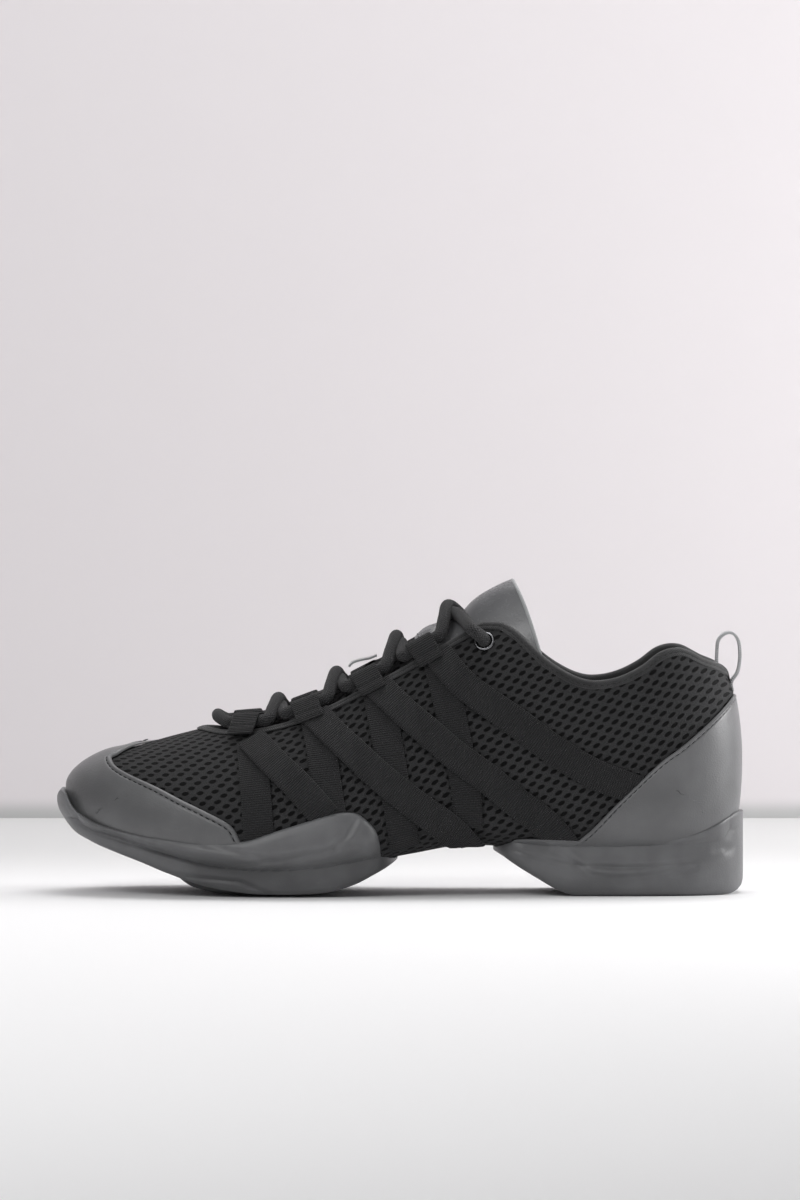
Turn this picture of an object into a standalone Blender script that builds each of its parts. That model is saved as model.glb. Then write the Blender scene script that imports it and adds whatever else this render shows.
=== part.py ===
# Dance sneaker with a split sole: mesh upper, toe cap, heel counter, webbing straps, tongue and lace.
# Metres, +Z up. The toe points along -X and the outer side of the foot faces -Y.
# While it is modelled, X runs from the toe tip to the back of the heel. The root empty centres it.

import math

import bmesh
import bpy
import numpy as np
from mathutils import Vector

MM = 0.001

# Driving sizes of the shoe
LENGTH = 265 * MM
BALL_WIDTH = 91 * MM
INSTEP_HEIGHT = 120 * MM

# Upper
WALL = 1.8 * MM
COLLAR_WALL = 3.6 * MM
COLLAR_PAD_DEPTH = 26 * MM
WINDOW_SHARE = 0.66
WINDOW_ROUND = 16 * MM
CLEARANCE = 0.35 * MM

# Toe cap and heel counter, and how far the upper's two ends lie inside the shoe's length
COVER = 1.2 * MM
TOE_MARGIN = 4.9 * MM
HEEL_MARGIN = 1.9 * MM

# Webbing, eyelets and lace
WEB_WIDTH = 11.6 * MM
WEB = 1.0 * MM
STRAP_EASE = 0.2 * MM
LOOP_LENGTH = 10.0 * MM
LACE_RADIUS = 2.3 * MM
LACE_LEAD = 0.76
EYELET_RADIUS = 4.0 * MM
EYELET_FLANGE = 0.6 * MM
EYELET_WALL = 0.4 * MM
KEEPER_WIDTH = 12 * MM
KEEPER = 0.8 * MM

# Pull loop
PULL_WIDTH = 10 * MM
PULL = 1.0 * MM

# Insole and tongue
INSOLE_THICKNESS = 3.0 * MM
TONGUE_THICKNESS = 3.6 * MM
TONGUE_RISE = 3.2 * MM
TONGUE_DENT = 3.4 * MM
TONGUE_DENT_SPREAD = 6.5 * MM
TONGUE_SWELL = 25 * MM
TONGUE_SLANT = 11 * MM

# Soles
RIM_WALL = 2.0 * MM
WAIST_END_ROUND = 13 * MM
SIDE_BULGE = 1.3 * MM
GROOVE_DEPTH = 0.8 * MM
PAD_RADIUS = 20.5 * MM

# How finely the curved pieces are divided
ROWS_BELOW = 4
ROWS_ABOVE = 5
SOLE_PLACES = 20
STRAP_PITCH = 8.5 * MM
STRAP_END_PITCH = 3.2 * MM

# The last, from the toe tip to the heel. at: share of LENGTH. low, widest and crown: heights as shares
# of INSTEP_HEIGHT. half: half-width, and side: shift of the section towards the inner side of the foot,
# as shares of BALL_WIDTH. arch: how round the section is above its widest point, 2 being an ellipse.
LAST = (
    # at,    low,    widest, crown,  half,  side,   arch
    (0.000,  0.205,  0.300,  0.428,  0.400, 0.085,  2.20),
    (0.060,  0.192,  0.270,  0.443,  0.445, 0.080,  2.20),
    (0.110,  0.163,  0.240,  0.465,  0.455, 0.068,  2.15),
    (0.160,  0.127,  0.215,  0.497,  0.470, 0.050,  2.10),
    (0.215,  0.093,  0.195,  0.529,  0.487, 0.025,  2.05),
    (0.300,  0.071,  0.185,  0.580,  0.500, -0.006, 1.95),
    (0.380,  0.078,  0.200,  0.650,  0.475, -0.026, 1.88),
    (0.455,  0.104,  0.235,  0.740,  0.430, -0.033, 1.85),
    (0.520,  0.131,  0.275,  0.830,  0.394, -0.028, 1.85),
    (0.600,  0.157,  0.305,  0.930,  0.368, -0.016, 1.95),
    (0.660,  0.150,  0.315,  0.998,  0.362, -0.006, 2.15),
    (0.720,  0.135,  0.325,  1.030,  0.364, 0.000,  2.40),
    (0.800,  0.130,  0.345,  1.030,  0.370, 0.002,  2.60),
    (0.880,  0.130,  0.375,  1.000,  0.366, 0.002,  2.60),
    (0.950,  0.133,  0.410,  0.980,  0.350, 0.000,  2.50),
    (1.000,  0.140,  0.430,  0.965,  0.330, 0.000,  2.40),
)
TOE_POLE = 0.345
HEEL_POLE = 0.430
TOE_ROUND = 56 * MM
HEEL_ROUND = 34 * MM
TOE_BOX_ROUND = 17 * MM
HEEL_BACK_ROUND = 34 * MM
TOE_SOLE_ROUND = 11 * MM
HEEL_SOLE_ROUND = 8 * MM
BOTTOM_SQUARENESS = 3.4
BOTTOM_SHARE = 0.86

# The edge of the throat and the collar, seen from the side, as shares of LENGTH and INSTEP_HEIGHT
EDGE = (
    # at,    height
    (0.2150, 0.5220),
    (0.2780, 0.5250),
    (0.3700, 0.5760),
    (0.4585, 0.6700),
    (0.5400, 0.7680),
    (0.5960, 0.8380),
    (0.6230, 0.8690),
    (0.6440, 0.8690),
    (0.6680, 0.8430),
    (0.6880, 0.8020),
    (0.7080, 0.7600),
    (0.7310, 0.7240),
    (0.7560, 0.6960),
    (0.7820, 0.6845),
    (0.8170, 0.6970),
    (0.8520, 0.7350),
    (0.8780, 0.7770),
    (0.9030, 0.7890),
    (0.9380, 0.7560),
    (0.9700, 0.7190),
    (0.9870, 0.6700),
)

# The two sole units, seen from the side: the rim, the ground side, and how deep the side groove is
FOREFOOT_SOLE = (
    # at,    rim,    ground, groove
    (0.0000, 0.3100, 0.2960, 0.0),
    (0.0110, 0.3330, 0.2450, 0.0),
    (0.0240, 0.2750, 0.2030, 0.0),
    (0.0490, 0.2440, 0.1740, 0.0),
    (0.0890, 0.2140, 0.1370, 0.3),
    (0.1250, 0.1980, 0.1080, 0.6),
    (0.1660, 0.1870, 0.0720, 0.8),
    (0.2215, 0.1770, 0.0330, 1.0),
    (0.2700, 0.1820, 0.0150, 1.0),
    (0.3150, 0.2110, 0.0090, 1.0),
    (0.3560, 0.2390, 0.0100, 1.0),
    (0.3990, 0.2670, 0.0180, 0.8),
    (0.4200, 0.2750, 0.0290, 0.5),
    (0.4400, 0.2690, 0.0450, 0.3),
    (0.4600, 0.2330, 0.0680, 0.0),
    (0.4800, 0.1820, 0.0910, 0.0),
    (0.4970, 0.1310, 0.1130, 0.0),
)
HEEL_SOLE = (
    # at,    rim,    ground, groove
    (0.6360, 0.1560, 0.1400, 0.0),
    (0.6460, 0.1710, 0.1300, 0.0),
    (0.6670, 0.1830, 0.1000, 0.2),
    (0.6980, 0.1850, 0.0580, 0.5),
    (0.7290, 0.1840, 0.0190, 0.8),
    (0.7500, 0.1820, 0.0030, 1.0),
    (0.7710, 0.1780, 0.0000, 1.0),
    (0.8200, 0.1725, 0.0000, 1.0),
    (0.8550, 0.1725, 0.0000, 1.0),
    (0.8900, 0.1830, 0.0000, 1.0),
    (0.9250, 0.2010, 0.0000, 0.8),
    (0.9530, 0.2250, 0.0000, 0.5),
    (0.9750, 0.2510, 0.0030, 0.3),
    (0.9890, 0.2640, 0.0160, 0.0),
    (1.0000, 0.2640, 0.0400, 0.0),
)
# The side of a sole unit, from its rim down: share of its height, bulge, and how much of the groove
SOLE_SIDE = (
    # share, bulge, groove
    (1.00, 0.0, 0.0),
    (0.80, 0.7, 0.0),
    (0.64, 1.0, 0.0),
    (0.55, 1.0, 1.0),
    (0.46, 1.1, 0.0),
    (0.24, 0.9, 0.0),
    (0.08, -0.2, 0.0),
    (0.00, -1.6, 0.0),
)
FOREFOOT_PAD = (
    # at,    ground
    (0.1730, 0.0600),
    (0.1925, 0.0310),
    (0.2215, 0.0125),
    (0.2500, 0.0030),
    (0.2700, 0.0000),
    (0.3270, 0.0000),
)


# The toe cap's edge from the sole's rim up to its peak on the top, and the counter's from the rim up
CAP_EDGE = (
    # at,    height
    (0.2715, 0.1700),
    (0.2574, 0.2325),
    (0.2215, 0.2750),
    (0.1853, 0.3117),
    (0.1494, 0.3492),
    (0.0966, 0.3967),
    (0.0826, 0.4283),
    (0.0917, 0.4467),
    (0.1109, 0.4658),
    (0.1302, 0.4808),
    (0.1543, 0.4967),
    (0.1543, 0.5600),
)
COUNTER_EDGE = (
    # at,    height
    (0.7581, 0.1500),
    (0.8170, 0.3058),
    (0.8747, 0.4267),
    (0.9034, 0.4742),
    (0.9325, 0.5283),
    (0.9842, 0.6250),
    (0.9928, 0.6367),
    (1.0100, 0.6367),
)

# The middle lines of the straps, seen from the side, from the throat down
STRAPS_DOWN = (
    ((0.2868, 0.4890), (0.2930, 0.3400), (0.2985, 0.1700)),
    ((0.3790, 0.5640), (0.3876, 0.4708), (0.3932, 0.3758), (0.4030, 0.2300)),
    ((0.4683, 0.6560), (0.4811, 0.5025), (0.4943, 0.3275), (0.5065, 0.1650)),
    ((0.5547, 0.7590), (0.5691, 0.6300), (0.5808, 0.5025), (0.5951, 0.3433), (0.5975, 0.2250)),
)
STRAPS_SLANT = (
    ((0.2868, 0.4930), (0.3215, 0.4200), (0.3558, 0.3500), (0.4080, 0.2200)),
    (
        (0.3800, 0.5700), (0.4064, 0.5125), (0.4336, 0.4583), (0.4668, 0.3917), (0.5158, 0.3058),
        (0.5577, 0.2417), (0.6040, 0.1740),
    ),
    (
        (0.4700, 0.6620), (0.5102, 0.5792), (0.5491, 0.5092), (0.5777, 0.4550), (0.6283, 0.3758),
        (0.6657, 0.3083), (0.7090, 0.2383), (0.7500, 0.1500),
    ),
    (
        (0.5560, 0.7650), (0.5909, 0.6775), (0.6325, 0.6108), (0.6728, 0.5508), (0.7177, 0.4775),
        (0.7781, 0.3975), (0.8600, 0.3280),
    ),
)
# The lace loops' middles along the throat's edge, and the places where the lace crosses over the tongue
LOOPS = (0.2780, 0.3700, 0.4585, 0.5395)
CROSSINGS = (0.3270, 0.4130, 0.5010, 0.5750)
EYELET_AT = (0.6230, 0.8117)

# The keeper band and the pull loop on the middle line: share of LENGTH and height
KEEPER_LINE = (
    (0.4250, 0.7300),
    (0.4300, 0.7420),
    (0.4370, 0.7490),
    (0.4470, 0.7540),
    (0.4570, 0.7590),
    (0.4660, 0.7670),
)
PULL_LINE = (
    (0.9863, 0.6480),
    (0.9845, 0.6750),
    (0.9930, 0.7050),
    (0.9965, 0.7400),
    (0.9970, 0.7800),
    (0.9945, 0.8120),
    (0.9880, 0.8330),
    (0.9800, 0.8400),
    (0.9700, 0.8330),
    (0.9620, 0.8120),
    (0.9600, 0.7800),
    (0.9595, 0.7200),
    (0.9610, 0.6300),
)


def clear_scene():
    for obj in list(bpy.data.objects):
        bpy.data.objects.remove(obj, do_unlink=True)


def new_collection(name):
    collection = bpy.data.collections.new(name)
    bpy.context.scene.collection.children.link(collection)
    return collection


def new_material(name, colour, roughness, metallic=0.0):
    material = bpy.data.materials.new(name)
    material.use_nodes = True
    shader = material.node_tree.nodes["Principled BSDF"]
    shader.inputs["Base Color"].default_value = (*colour, 1.0)
    shader.inputs["Roughness"].default_value = roughness
    shader.inputs["Metallic"].default_value = metallic
    return material


def new_object(name, bm, material, collection):
    mesh = bpy.data.meshes.new(name)
    bm.to_mesh(mesh)
    bm.free()
    if material is not None:
        mesh.materials.append(material)
    mesh.shade_smooth()
    mesh.set_sharp_from_angle(angle=math.radians(35))
    obj = bpy.data.objects.new(name, mesh)
    collection.objects.link(obj)
    obj.parent = root
    return obj


def new_cutter(name, bm):
    obj = new_object(name, bm, None, cutters)
    obj.hide_render = True
    obj.display_type = "WIRE"
    return obj


def boolean(obj, operation, other):
    modifier = obj.modifiers.new(operation.title() + "_" + other.name, "BOOLEAN")
    modifier.operation = operation
    modifier.solver = "EXACT"
    modifier.object = other


def ease(value):
    """A smooth step from 0 to 1."""
    value = min(max(value, 0.0), 1.0)
    return value * value * (3 - 2 * value)


def smooth_table(rows):
    """A function of the first column that passes a monotone cubic curve through each other column."""
    data = np.array(rows, dtype=float)
    x = data[:, 0]
    y = data[:, 1:]
    step = np.diff(x)[:, None]
    slope = np.diff(y, axis=0) / step
    tangent = np.zeros_like(y)
    tangent[0] = slope[0]
    tangent[-1] = slope[-1]
    turning = slope[:-1] * slope[1:] > 0
    weighted = (slope[:-1] * step[1:] + slope[1:] * step[:-1]) / (step[1:] + step[:-1])
    limit = 3 * np.minimum(abs(slope[:-1]), abs(slope[1:]))
    tangent[1:-1] = np.where(turning, np.clip(weighted, -limit, limit), 0)

    def at(value):
        value = min(max(value, x[0]), x[-1])
        i = min(int(np.searchsorted(x, value, side="right")) - 1, len(x) - 2)
        h = x[i + 1] - x[i]
        t = (value - x[i]) / h
        return (
            (2 * t**3 - 3 * t**2 + 1) * y[i]
            + (t**3 - 2 * t**2 + t) * h * tangent[i]
            + (3 * t**2 - 2 * t**3) * y[i + 1]
            + (t**3 - t**2) * h * tangent[i + 1]
        )

    return at


last_rows = smooth_table(LAST)
edge_rows = smooth_table(EDGE)
FORM_START = TOE_MARGIN
FORM_END = LENGTH - HEEL_MARGIN


def rounding(distance, reach, squareness=2.0):
    """From 0 at an end of the form to 1 at reach from it, along a superellipse."""
    share = min(max(1 - distance / reach, 0.0), 1.0)
    return (1 - share**squareness) ** (1 / squareness)


def section(x):
    """The section of the last in the plane at x: heights low, widest and crown, half-width, side, arch."""
    low, widest, crown, half, side, arch = last_rows(x / LENGTH)
    to_toe = x - FORM_START
    to_heel = FORM_END - x
    half *= rounding(to_toe, TOE_ROUND, 2.3) * rounding(to_heel, HEEL_ROUND, 2.3)
    for pole, distance, top, bottom, squareness in (
        (TOE_POLE, to_toe, TOE_BOX_ROUND, TOE_SOLE_ROUND, 1.75),
        (HEEL_POLE, to_heel, HEEL_BACK_ROUND, HEEL_SOLE_ROUND, 2.0),
    ):
        crown = pole + (crown - pole) * rounding(distance, top, squareness)
        low = pole + (low - pole) * rounding(distance, bottom)
        widest = pole + (widest - pole) * rounding(distance, max(top, bottom))
    return (
        low * INSTEP_HEIGHT,
        widest * INSTEP_HEIGHT,
        crown * INSTEP_HEIGHT,
        half * BALL_WIDTH,
        side * BALL_WIDTH,
        arch,
    )


def turn_at(x, z):
    """Where the section at x meets the height z: -90 degrees is the bottom, 0 the widest, 90 the crown."""
    low, widest, crown, _, _, arch = section(x)
    if z >= widest:
        share = min((z - widest) / max(crown - widest, 1e-9), 1.0)
        return math.degrees(math.asin(share ** (arch / 2)))
    share = min((widest - z) / max(widest - low, 1e-9), 1.0)
    return -math.degrees(math.asin(share ** (BOTTOM_SQUARENESS / 2)))


def on_last(x, turn, hand):
    """A point of the last. hand is 1 on the inner side of the foot and -1 on the outer side."""
    low, widest, crown, half, side, arch = section(x)
    cos = max(math.cos(math.radians(turn)), 0.0)
    sin = abs(math.sin(math.radians(turn)))
    power = 2 / arch if turn >= 0 else 2 / BOTTOM_SQUARENESS
    height = crown - widest if turn >= 0 else low - widest
    return Vector((x, side + hand * half * cos**power, widest + height * sin**power))


def normal_at(x, turn, hand):
    """The outward normal of the last, away from its two ends."""
    along = on_last(x + 0.002 * LENGTH, turn, hand) - on_last(x - 0.002 * LENGTH, turn, hand)
    up = on_last(x, min(turn + 0.5, 90), hand) - on_last(x, turn - 0.5, hand)
    return (along.cross(up) * -hand).normalized()


def crown_normal(x):
    """The normal on the middle line of the top, where the two sides meet."""
    return (normal_at(x, 89, 1) + normal_at(x, 89, -1)).normalized()


def off_last(x, z, hand, out):
    """The point at height z on the side of the last at x, moved out along the normal."""
    turn = turn_at(x, z)
    return on_last(x, turn, hand) + normal_at(x, turn, hand) * out


def edge_height(x):
    return float(edge_rows(x / LENGTH)[0]) * INSTEP_HEIGHT


THROAT_FRONT = EDGE[0][0] * LENGTH
COLLAR_BACK = EDGE[-1][0] * LENGTH
TONGUE_FRONT = 0.175 * LENGTH
TONGUE_TOP = 0.664 * LENGTH


def spaced(start, end, count, pull=0.0):
    """count + 1 places from start to end, closer together at both ends as pull nears 1."""
    places = []
    for i in range(count + 1):
        even = i / count
        round_off = (1 - math.cos(math.pi * even)) / 2
        places.append(start + (end - start) * (even + (round_off - even) * pull))
    return places


def stations():
    """The planes that the last is drawn in: close together at the toe, the throat's front and the heel."""
    toe = spaced(FORM_START, THROAT_FRONT, 8, 0.8)
    middle = spaced(THROAT_FRONT, COLLAR_BACK, 20, 0.75)
    heel = [COLLAR_BACK + (FORM_END - COLLAR_BACK) * share for share in (0.45, 0.8, 1.0)]
    return toe + middle[1:] + heel


def last_surface():
    """The skin of the last, from the line under the foot up to the edge of the throat and collar."""
    bm = bmesh.new()
    places = stations()
    rows = ROWS_BELOW + ROWS_ABOVE
    columns = []
    for hand in (-1, 1):
        for row in range(-ROWS_BELOW, ROWS_ABOVE + 1):
            line = []
            for x in places:
                top = 90.0
                if THROAT_FRONT < x < COLLAR_BACK:
                    top = turn_at(x, edge_height(x))
                turn = 90 * row / ROWS_BELOW if row < 0 else top * row / ROWS_ABOVE
                line.append(bm.verts.new(on_last(x, turn, hand)))
            columns.append(line)
    for side in (0, rows + 1):
        for row in range(rows):
            for i in range(len(places) - 1):
                near = columns[side + row]
                far = columns[side + row + 1]
                bm.faces.new((near[i], near[i + 1], far[i + 1], far[i]))
    bmesh.ops.remove_doubles(bm, verts=bm.verts, dist=0.01 * MM)
    bmesh.ops.dissolve_degenerate(bm, edges=bm.edges, dist=0.01 * MM)
    bmesh.ops.recalc_face_normals(bm, faces=bm.faces)
    bm.normal_update()
    return bm


def moved_out(bm, out):
    """Moves each vertex along its own normal by out, a number or a function of its place."""
    bm.normal_update()
    moves = []
    for vert in bm.verts:
        distance = out(vert.co) if callable(out) else out
        moves.append(vert.co + vert.normal * vert.calc_shell_factor() * distance)
    for vert, place in zip(bm.verts, moves):
        vert.co = place
    return bm


def thickened(bm, thickness):
    """Closes an open skin into a wall: thickness, a number or a function of the place, goes inwards."""
    bm.normal_update()
    outer = list(bm.verts)
    faces = list(bm.faces)
    edges = [edge for edge in bm.edges if edge.is_boundary]
    inner = {}
    for vert in outer:
        depth = thickness(vert.co) if callable(thickness) else thickness
        inner[vert] = bm.verts.new(vert.co - vert.normal * depth * vert.calc_shell_factor())
    for edge in edges:
        start, end = edge.verts
        face = edge.link_faces[0]
        corners = [loop.vert for loop in face.loops]
        if corners[(corners.index(start) + 1) % len(corners)] == end:
            start, end = end, start
        bm.faces.new((start, end, inner[end], inner[start]))
    for face in faces:
        bm.faces.new([inner[loop.vert] for loop in reversed(face.loops)])
    return bm


def capped(bm):
    """Closes the collar of an open skin with one face, for a cutter."""
    edges = [edge for edge in bm.edges if edge.is_boundary]
    bmesh.ops.contextual_create(bm, geom=edges)
    bmesh.ops.triangulate(bm, faces=[face for face in bm.faces if len(face.verts) > 4])
    bmesh.ops.recalc_face_normals(bm, faces=bm.faces)
    return bm


def prism(name, outline, half_depth):
    """A cutter: an outline seen from the side, as (x, z) points, drawn right across the shoe."""
    bm = bmesh.new()
    near = [bm.verts.new((x, -half_depth, z)) for x, z in outline]
    far = [bm.verts.new((x, half_depth, z)) for x, z in outline]
    bm.faces.new(near)
    bm.faces.new(list(reversed(far)))
    for i in range(len(outline)):
        j = (i + 1) % len(outline)
        bm.faces.new((near[j], near[i], far[i], far[j]))
    bmesh.ops.recalc_face_normals(bm, faces=bm.faces)
    return new_cutter(name, bm)


def window(name, start, end):
    """A cutter for an opening under the foot, rounded at both ends, as wide as the bottom allows."""
    bm = bmesh.new()
    under, over = [], []
    places = spaced(start, end, 14, 1.0)
    outline = [(x, -1) for x in places] + [(x, 1) for x in reversed(places[1:-1])]
    for x, hand in outline:
        bottom, _, _, half, side, _ = section(x)
        share = WINDOW_SHARE * rounding(min(x - start, end - x), WINDOW_ROUND, 2.2)
        y = side + hand * half * share
        under.append(bm.verts.new((x, y, -0.08 * INSTEP_HEIGHT)))
        over.append(bm.verts.new((x, y, bottom + 3 * WALL)))
    bm.faces.new(under)
    count = len(outline)
    for i in range(count):
        j = (i + 1) % count
        bm.faces.new((under[i], under[j], over[j], over[i]))
    half_count = len(places) - 1
    bm.faces.new((over[0], over[1], over[-1]))
    bm.faces.new((over[half_count], over[half_count + 1], over[half_count - 1]))
    for i in range(1, half_count - 1):
        bm.faces.new((over[i], over[i + 1], over[count - i - 1], over[count - i]))
    bmesh.ops.recalc_face_normals(bm, faces=bm.faces)
    return new_cutter(name, bm)


def collar_wall(place):
    """The wall: thick where the collar is padded, thin in the mesh of the vamp, the sides and the bottom."""
    if place.x < EDGE[4][0] * LENGTH:
        return WALL
    depth = edge_height(place.x) - place.z
    padded = ease(1 - depth / COLLAR_PAD_DEPTH) * ease((place.x / LENGTH - EDGE[4][0]) / 0.12)
    rim = ease(depth / (1.1 * COLLAR_WALL))
    return WALL + (COLLAR_WALL - WALL) * padded * rim


def make_upper():
    upper = new_object("upper", thickened(last_surface(), collar_wall), knit, parts)
    boolean(upper, "DIFFERENCE", window("forefoot_window", 0.10 * LENGTH, 0.44 * LENGTH))
    boolean(upper, "DIFFERENCE", window("heel_window", 0.69 * LENGTH, 0.95 * LENGTH))
    return upper


def make_insole():
    """A flat pad on the bottom of the upper's inside, in the shape of the inside at that level."""
    inside = moved_out(last_surface(), -(WALL + CLEARANCE))
    insole = new_object("insole", capped(inside), lining, parts)
    rise = WALL + CLEARANCE + INSOLE_THICKNESS
    places = spaced(-0.01 * LENGTH, 1.01 * LENGTH, 30)
    above = [(x, section(min(max(x, 0.03 * LENGTH), 0.97 * LENGTH))[0] + rise) for x in places]
    top = 1.2 * INSTEP_HEIGHT
    outline = above + [(places[-1], top), (places[0], top)]
    boolean(insole, "DIFFERENCE", prism("above_insole", outline, BALL_WIDTH))
    return insole


def lace_dent(x):
    """1 where the lace crosses over the tongue and presses it in, 0 between."""
    dents = [math.exp(-(((x - at * LENGTH) / TONGUE_DENT_SPREAD) ** 2)) for at in CROSSINGS]
    return min(sum(dents), 1.0)


def tongue_half_turn(share):
    """How far down each side the tongue reaches, in degrees round the section, along its length."""
    return 44 + 12 * ease(share * 2) - 26 * (1 - ease(share / 0.12))


def tongue_face(x, turn, share, wall):
    """How far the tongue's face lies off the last: under the upper's wall, and proud in the throat."""
    q = (90 - turn) / tongue_half_turn(share)
    loose = (3.6 + 4 * share * q * q + 1.5 * ease(1 - share / 0.3)) * CLEARANCE
    middle = ease(1 - q / 0.62) * ease((x - THROAT_FRONT) / TONGUE_SWELL - 0.2)
    return middle * (TONGUE_RISE - TONGUE_DENT * lace_dent(x)) - wall - loose


def make_tongue():
    """A padded tongue under the throat's edges, a little proud between them, flaring free at the top."""
    bm = bmesh.new()
    across = 8
    marks = [TONGUE_FRONT]
    for at in CROSSINGS:
        count = round((at * LENGTH - marks[-1]) / (0.86 * TONGUE_DENT_SPREAD))
        marks += spaced(marks[-1], at * LENGTH, count)[1:]
    marks += spaced(marks[-1], TONGUE_TOP, 4)[1:]
    grid = []
    for mark in marks:
        share = (mark - TONGUE_FRONT) / (TONGUE_TOP - TONGUE_FRONT)
        line = []
        for j in range(across + 1):
            q = 2 * j / across - 1
            turn = 90 - abs(q) * tongue_half_turn(share)
            x = TONGUE_FRONT + (TONGUE_TOP - TONGUE_FRONT) * share + TONGUE_SLANT * share**3 * abs(q) ** 1.6
            hand = 1 if q >= 0 else -1
            point = on_last(x, turn, hand)
            normal = normal_at(x, min(turn, 89), hand)
            if j == across // 2:
                normal = crown_normal(x)
            out = tongue_face(x, turn, share, collar_wall(point))
            line.append(bm.verts.new(point + normal * out))
        grid.append(line)
    for i in range(len(marks) - 1):
        for j in range(across):
            bm.faces.new((grid[i][j], grid[i + 1][j], grid[i + 1][j + 1], grid[i][j + 1]))
    bmesh.ops.recalc_face_normals(bm, faces=bm.faces)
    bm.normal_update()
    middle = min(bm.faces, key=lambda face: abs(face.calc_center_median().y))
    if middle.normal.z < 0:
        bmesh.ops.reverse_faces(bm, faces=bm.faces)
    return new_object("tongue", thickened(bm, TONGUE_THICKNESS), glossy, parts)


def foot_half(x, z, first, final, start_reach, end_reach):
    """Half the foot's width at height z, in an outline that is rounded off at a sole unit's own ends."""
    inner = min(max(x, FORM_START + 0.015 * LENGTH), FORM_END - 0.015 * LENGTH)
    low, widest, _, _, _, _ = section(inner)
    half = last_rows(x / LENGTH)[3] * BALL_WIDTH
    below = min(max((widest - z) / (widest - low), 0.0), BOTTOM_SHARE)
    half *= (1 - below**BOTTOM_SQUARENESS) ** (1 / BOTTOM_SQUARENESS)
    return half * rounding(x - first, start_reach, 2.3) * rounding(final - x, end_reach, 2.3)


def sole_unit(name, table, start_reach, end_reach):
    """A cup sole: a block in the outline of the foot, hollowed by the last and its clearance."""
    bm = bmesh.new()
    shape = smooth_table(table)
    first = table[0][0] * LENGTH
    final = table[-1][0] * LENGTH
    places = spaced(first, final, SOLE_PLACES, 0.55)
    rings = []
    for hand in (-1, 1):
        lines = []
        for share, bulge, groove in SOLE_SIDE:
            line = []
            for x in places:
                rim, ground, depth = shape(x / LENGTH)
                z = (ground + (rim - ground) * share) * INSTEP_HEIGHT
                side = section(min(max(x, FORM_START), FORM_END))[4]
                wall = CLEARANCE + RIM_WALL + bulge * SIDE_BULGE - groove * depth * GROOVE_DEPTH
                outline = foot_half(x, z, first, final, start_reach, end_reach)
                wall *= rounding(x - first, 3 * RIM_WALL) * rounding(final - x, 3 * RIM_WALL)
                line.append(bm.verts.new((x, side + hand * max(outline + wall, 0.0), z)))
            lines.append(line)
        rings += lines if hand < 0 else list(reversed(lines))
    for r, near in enumerate(rings):
        far = rings[(r + 1) % len(rings)]
        for i in range(len(places) - 1):
            bm.faces.new((near[i], near[i + 1], far[i + 1], far[i]))
    bm.faces.new([ring[0] for ring in rings])
    bm.faces.new([ring[-1] for ring in reversed(rings)])
    bmesh.ops.remove_doubles(bm, verts=bm.verts, dist=0.01 * MM)
    bmesh.ops.dissolve_degenerate(bm, edges=bm.edges, dist=0.01 * MM)
    bmesh.ops.recalc_face_normals(bm, faces=bm.faces)
    return new_object(name, bm, rubber, parts)


def make_pad(shape):
    """The round pivot pad under the ball of the foot, fused to the forefoot sole."""
    bm = bmesh.new()
    ground = smooth_table(FOREFOOT_PAD)
    first = FOREFOOT_PAD[0][0] * LENGTH
    final = FOREFOOT_PAD[-1][0] * LENGTH
    side = section((first + final) / 2)[4]
    rings = [[], [], [], []]
    for x in spaced(first, final, 12, 1.0):
        low = float(ground(x / LENGTH)[0]) * INSTEP_HEIGHT
        top = float(shape(x / LENGTH)[1]) * INSTEP_HEIGHT + RIM_WALL
        from_middle = (2 * x - first - final) / (final - first)
        half = PAD_RADIUS * math.sqrt(max(1 - from_middle**2, 0.0))
        for ring, (hand, z) in zip(rings, ((-1, low), (1, low), (1, top), (-1, top))):
            ring.append(bm.verts.new((x, side + hand * half, z)))
    for r in range(4):
        near, far = rings[r], rings[(r + 1) % 4]
        for i in range(len(near) - 1):
            bm.faces.new((near[i], near[i + 1], far[i + 1], far[i]))
    bmesh.ops.remove_doubles(bm, verts=bm.verts, dist=0.01 * MM)
    bmesh.ops.dissolve_degenerate(bm, edges=bm.edges, dist=0.01 * MM)
    bmesh.ops.recalc_face_normals(bm, faces=bm.faces)
    return new_cutter("pivot_pad", bm)


def make_soles():
    foot = new_cutter("foot_space", capped(moved_out(last_surface(), CLEARANCE)))
    forefoot = sole_unit("forefoot_sole", FOREFOOT_SOLE, TOE_ROUND + TOE_MARGIN, WAIST_END_ROUND)
    boolean(forefoot, "UNION", make_pad(smooth_table(FOREFOOT_SOLE)))
    heel = sole_unit("heel_sole", HEEL_SOLE, WAIST_END_ROUND, HEEL_ROUND + HEEL_MARGIN)
    for unit in (forefoot, heel):
        boolean(unit, "DIFFERENCE", foot)


def rim_line(table, clear):
    """A sole unit's rim seen from the side, moved up by a clearance, as (x, z) points."""
    shape = smooth_table(table)
    first, final = table[0][0], table[-1][0]
    places = spaced(first, final, SOLE_PLACES, 0.55)
    return [(at * LENGTH, float(shape(at)[0]) * INSTEP_HEIGHT + clear) for at in places]


def scaled(points, shift=0.0):
    return [(at * LENGTH + shift, height * INSTEP_HEIGHT) for at, height in points]


def cover_shell(name, material):
    """A second skin all round the upper, a clearance away from it, for a cover to be cut from."""
    skin = moved_out(last_surface(), CLEARANCE + COVER)
    return new_object(name, thickened(skin, COVER), material, parts)


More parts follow.
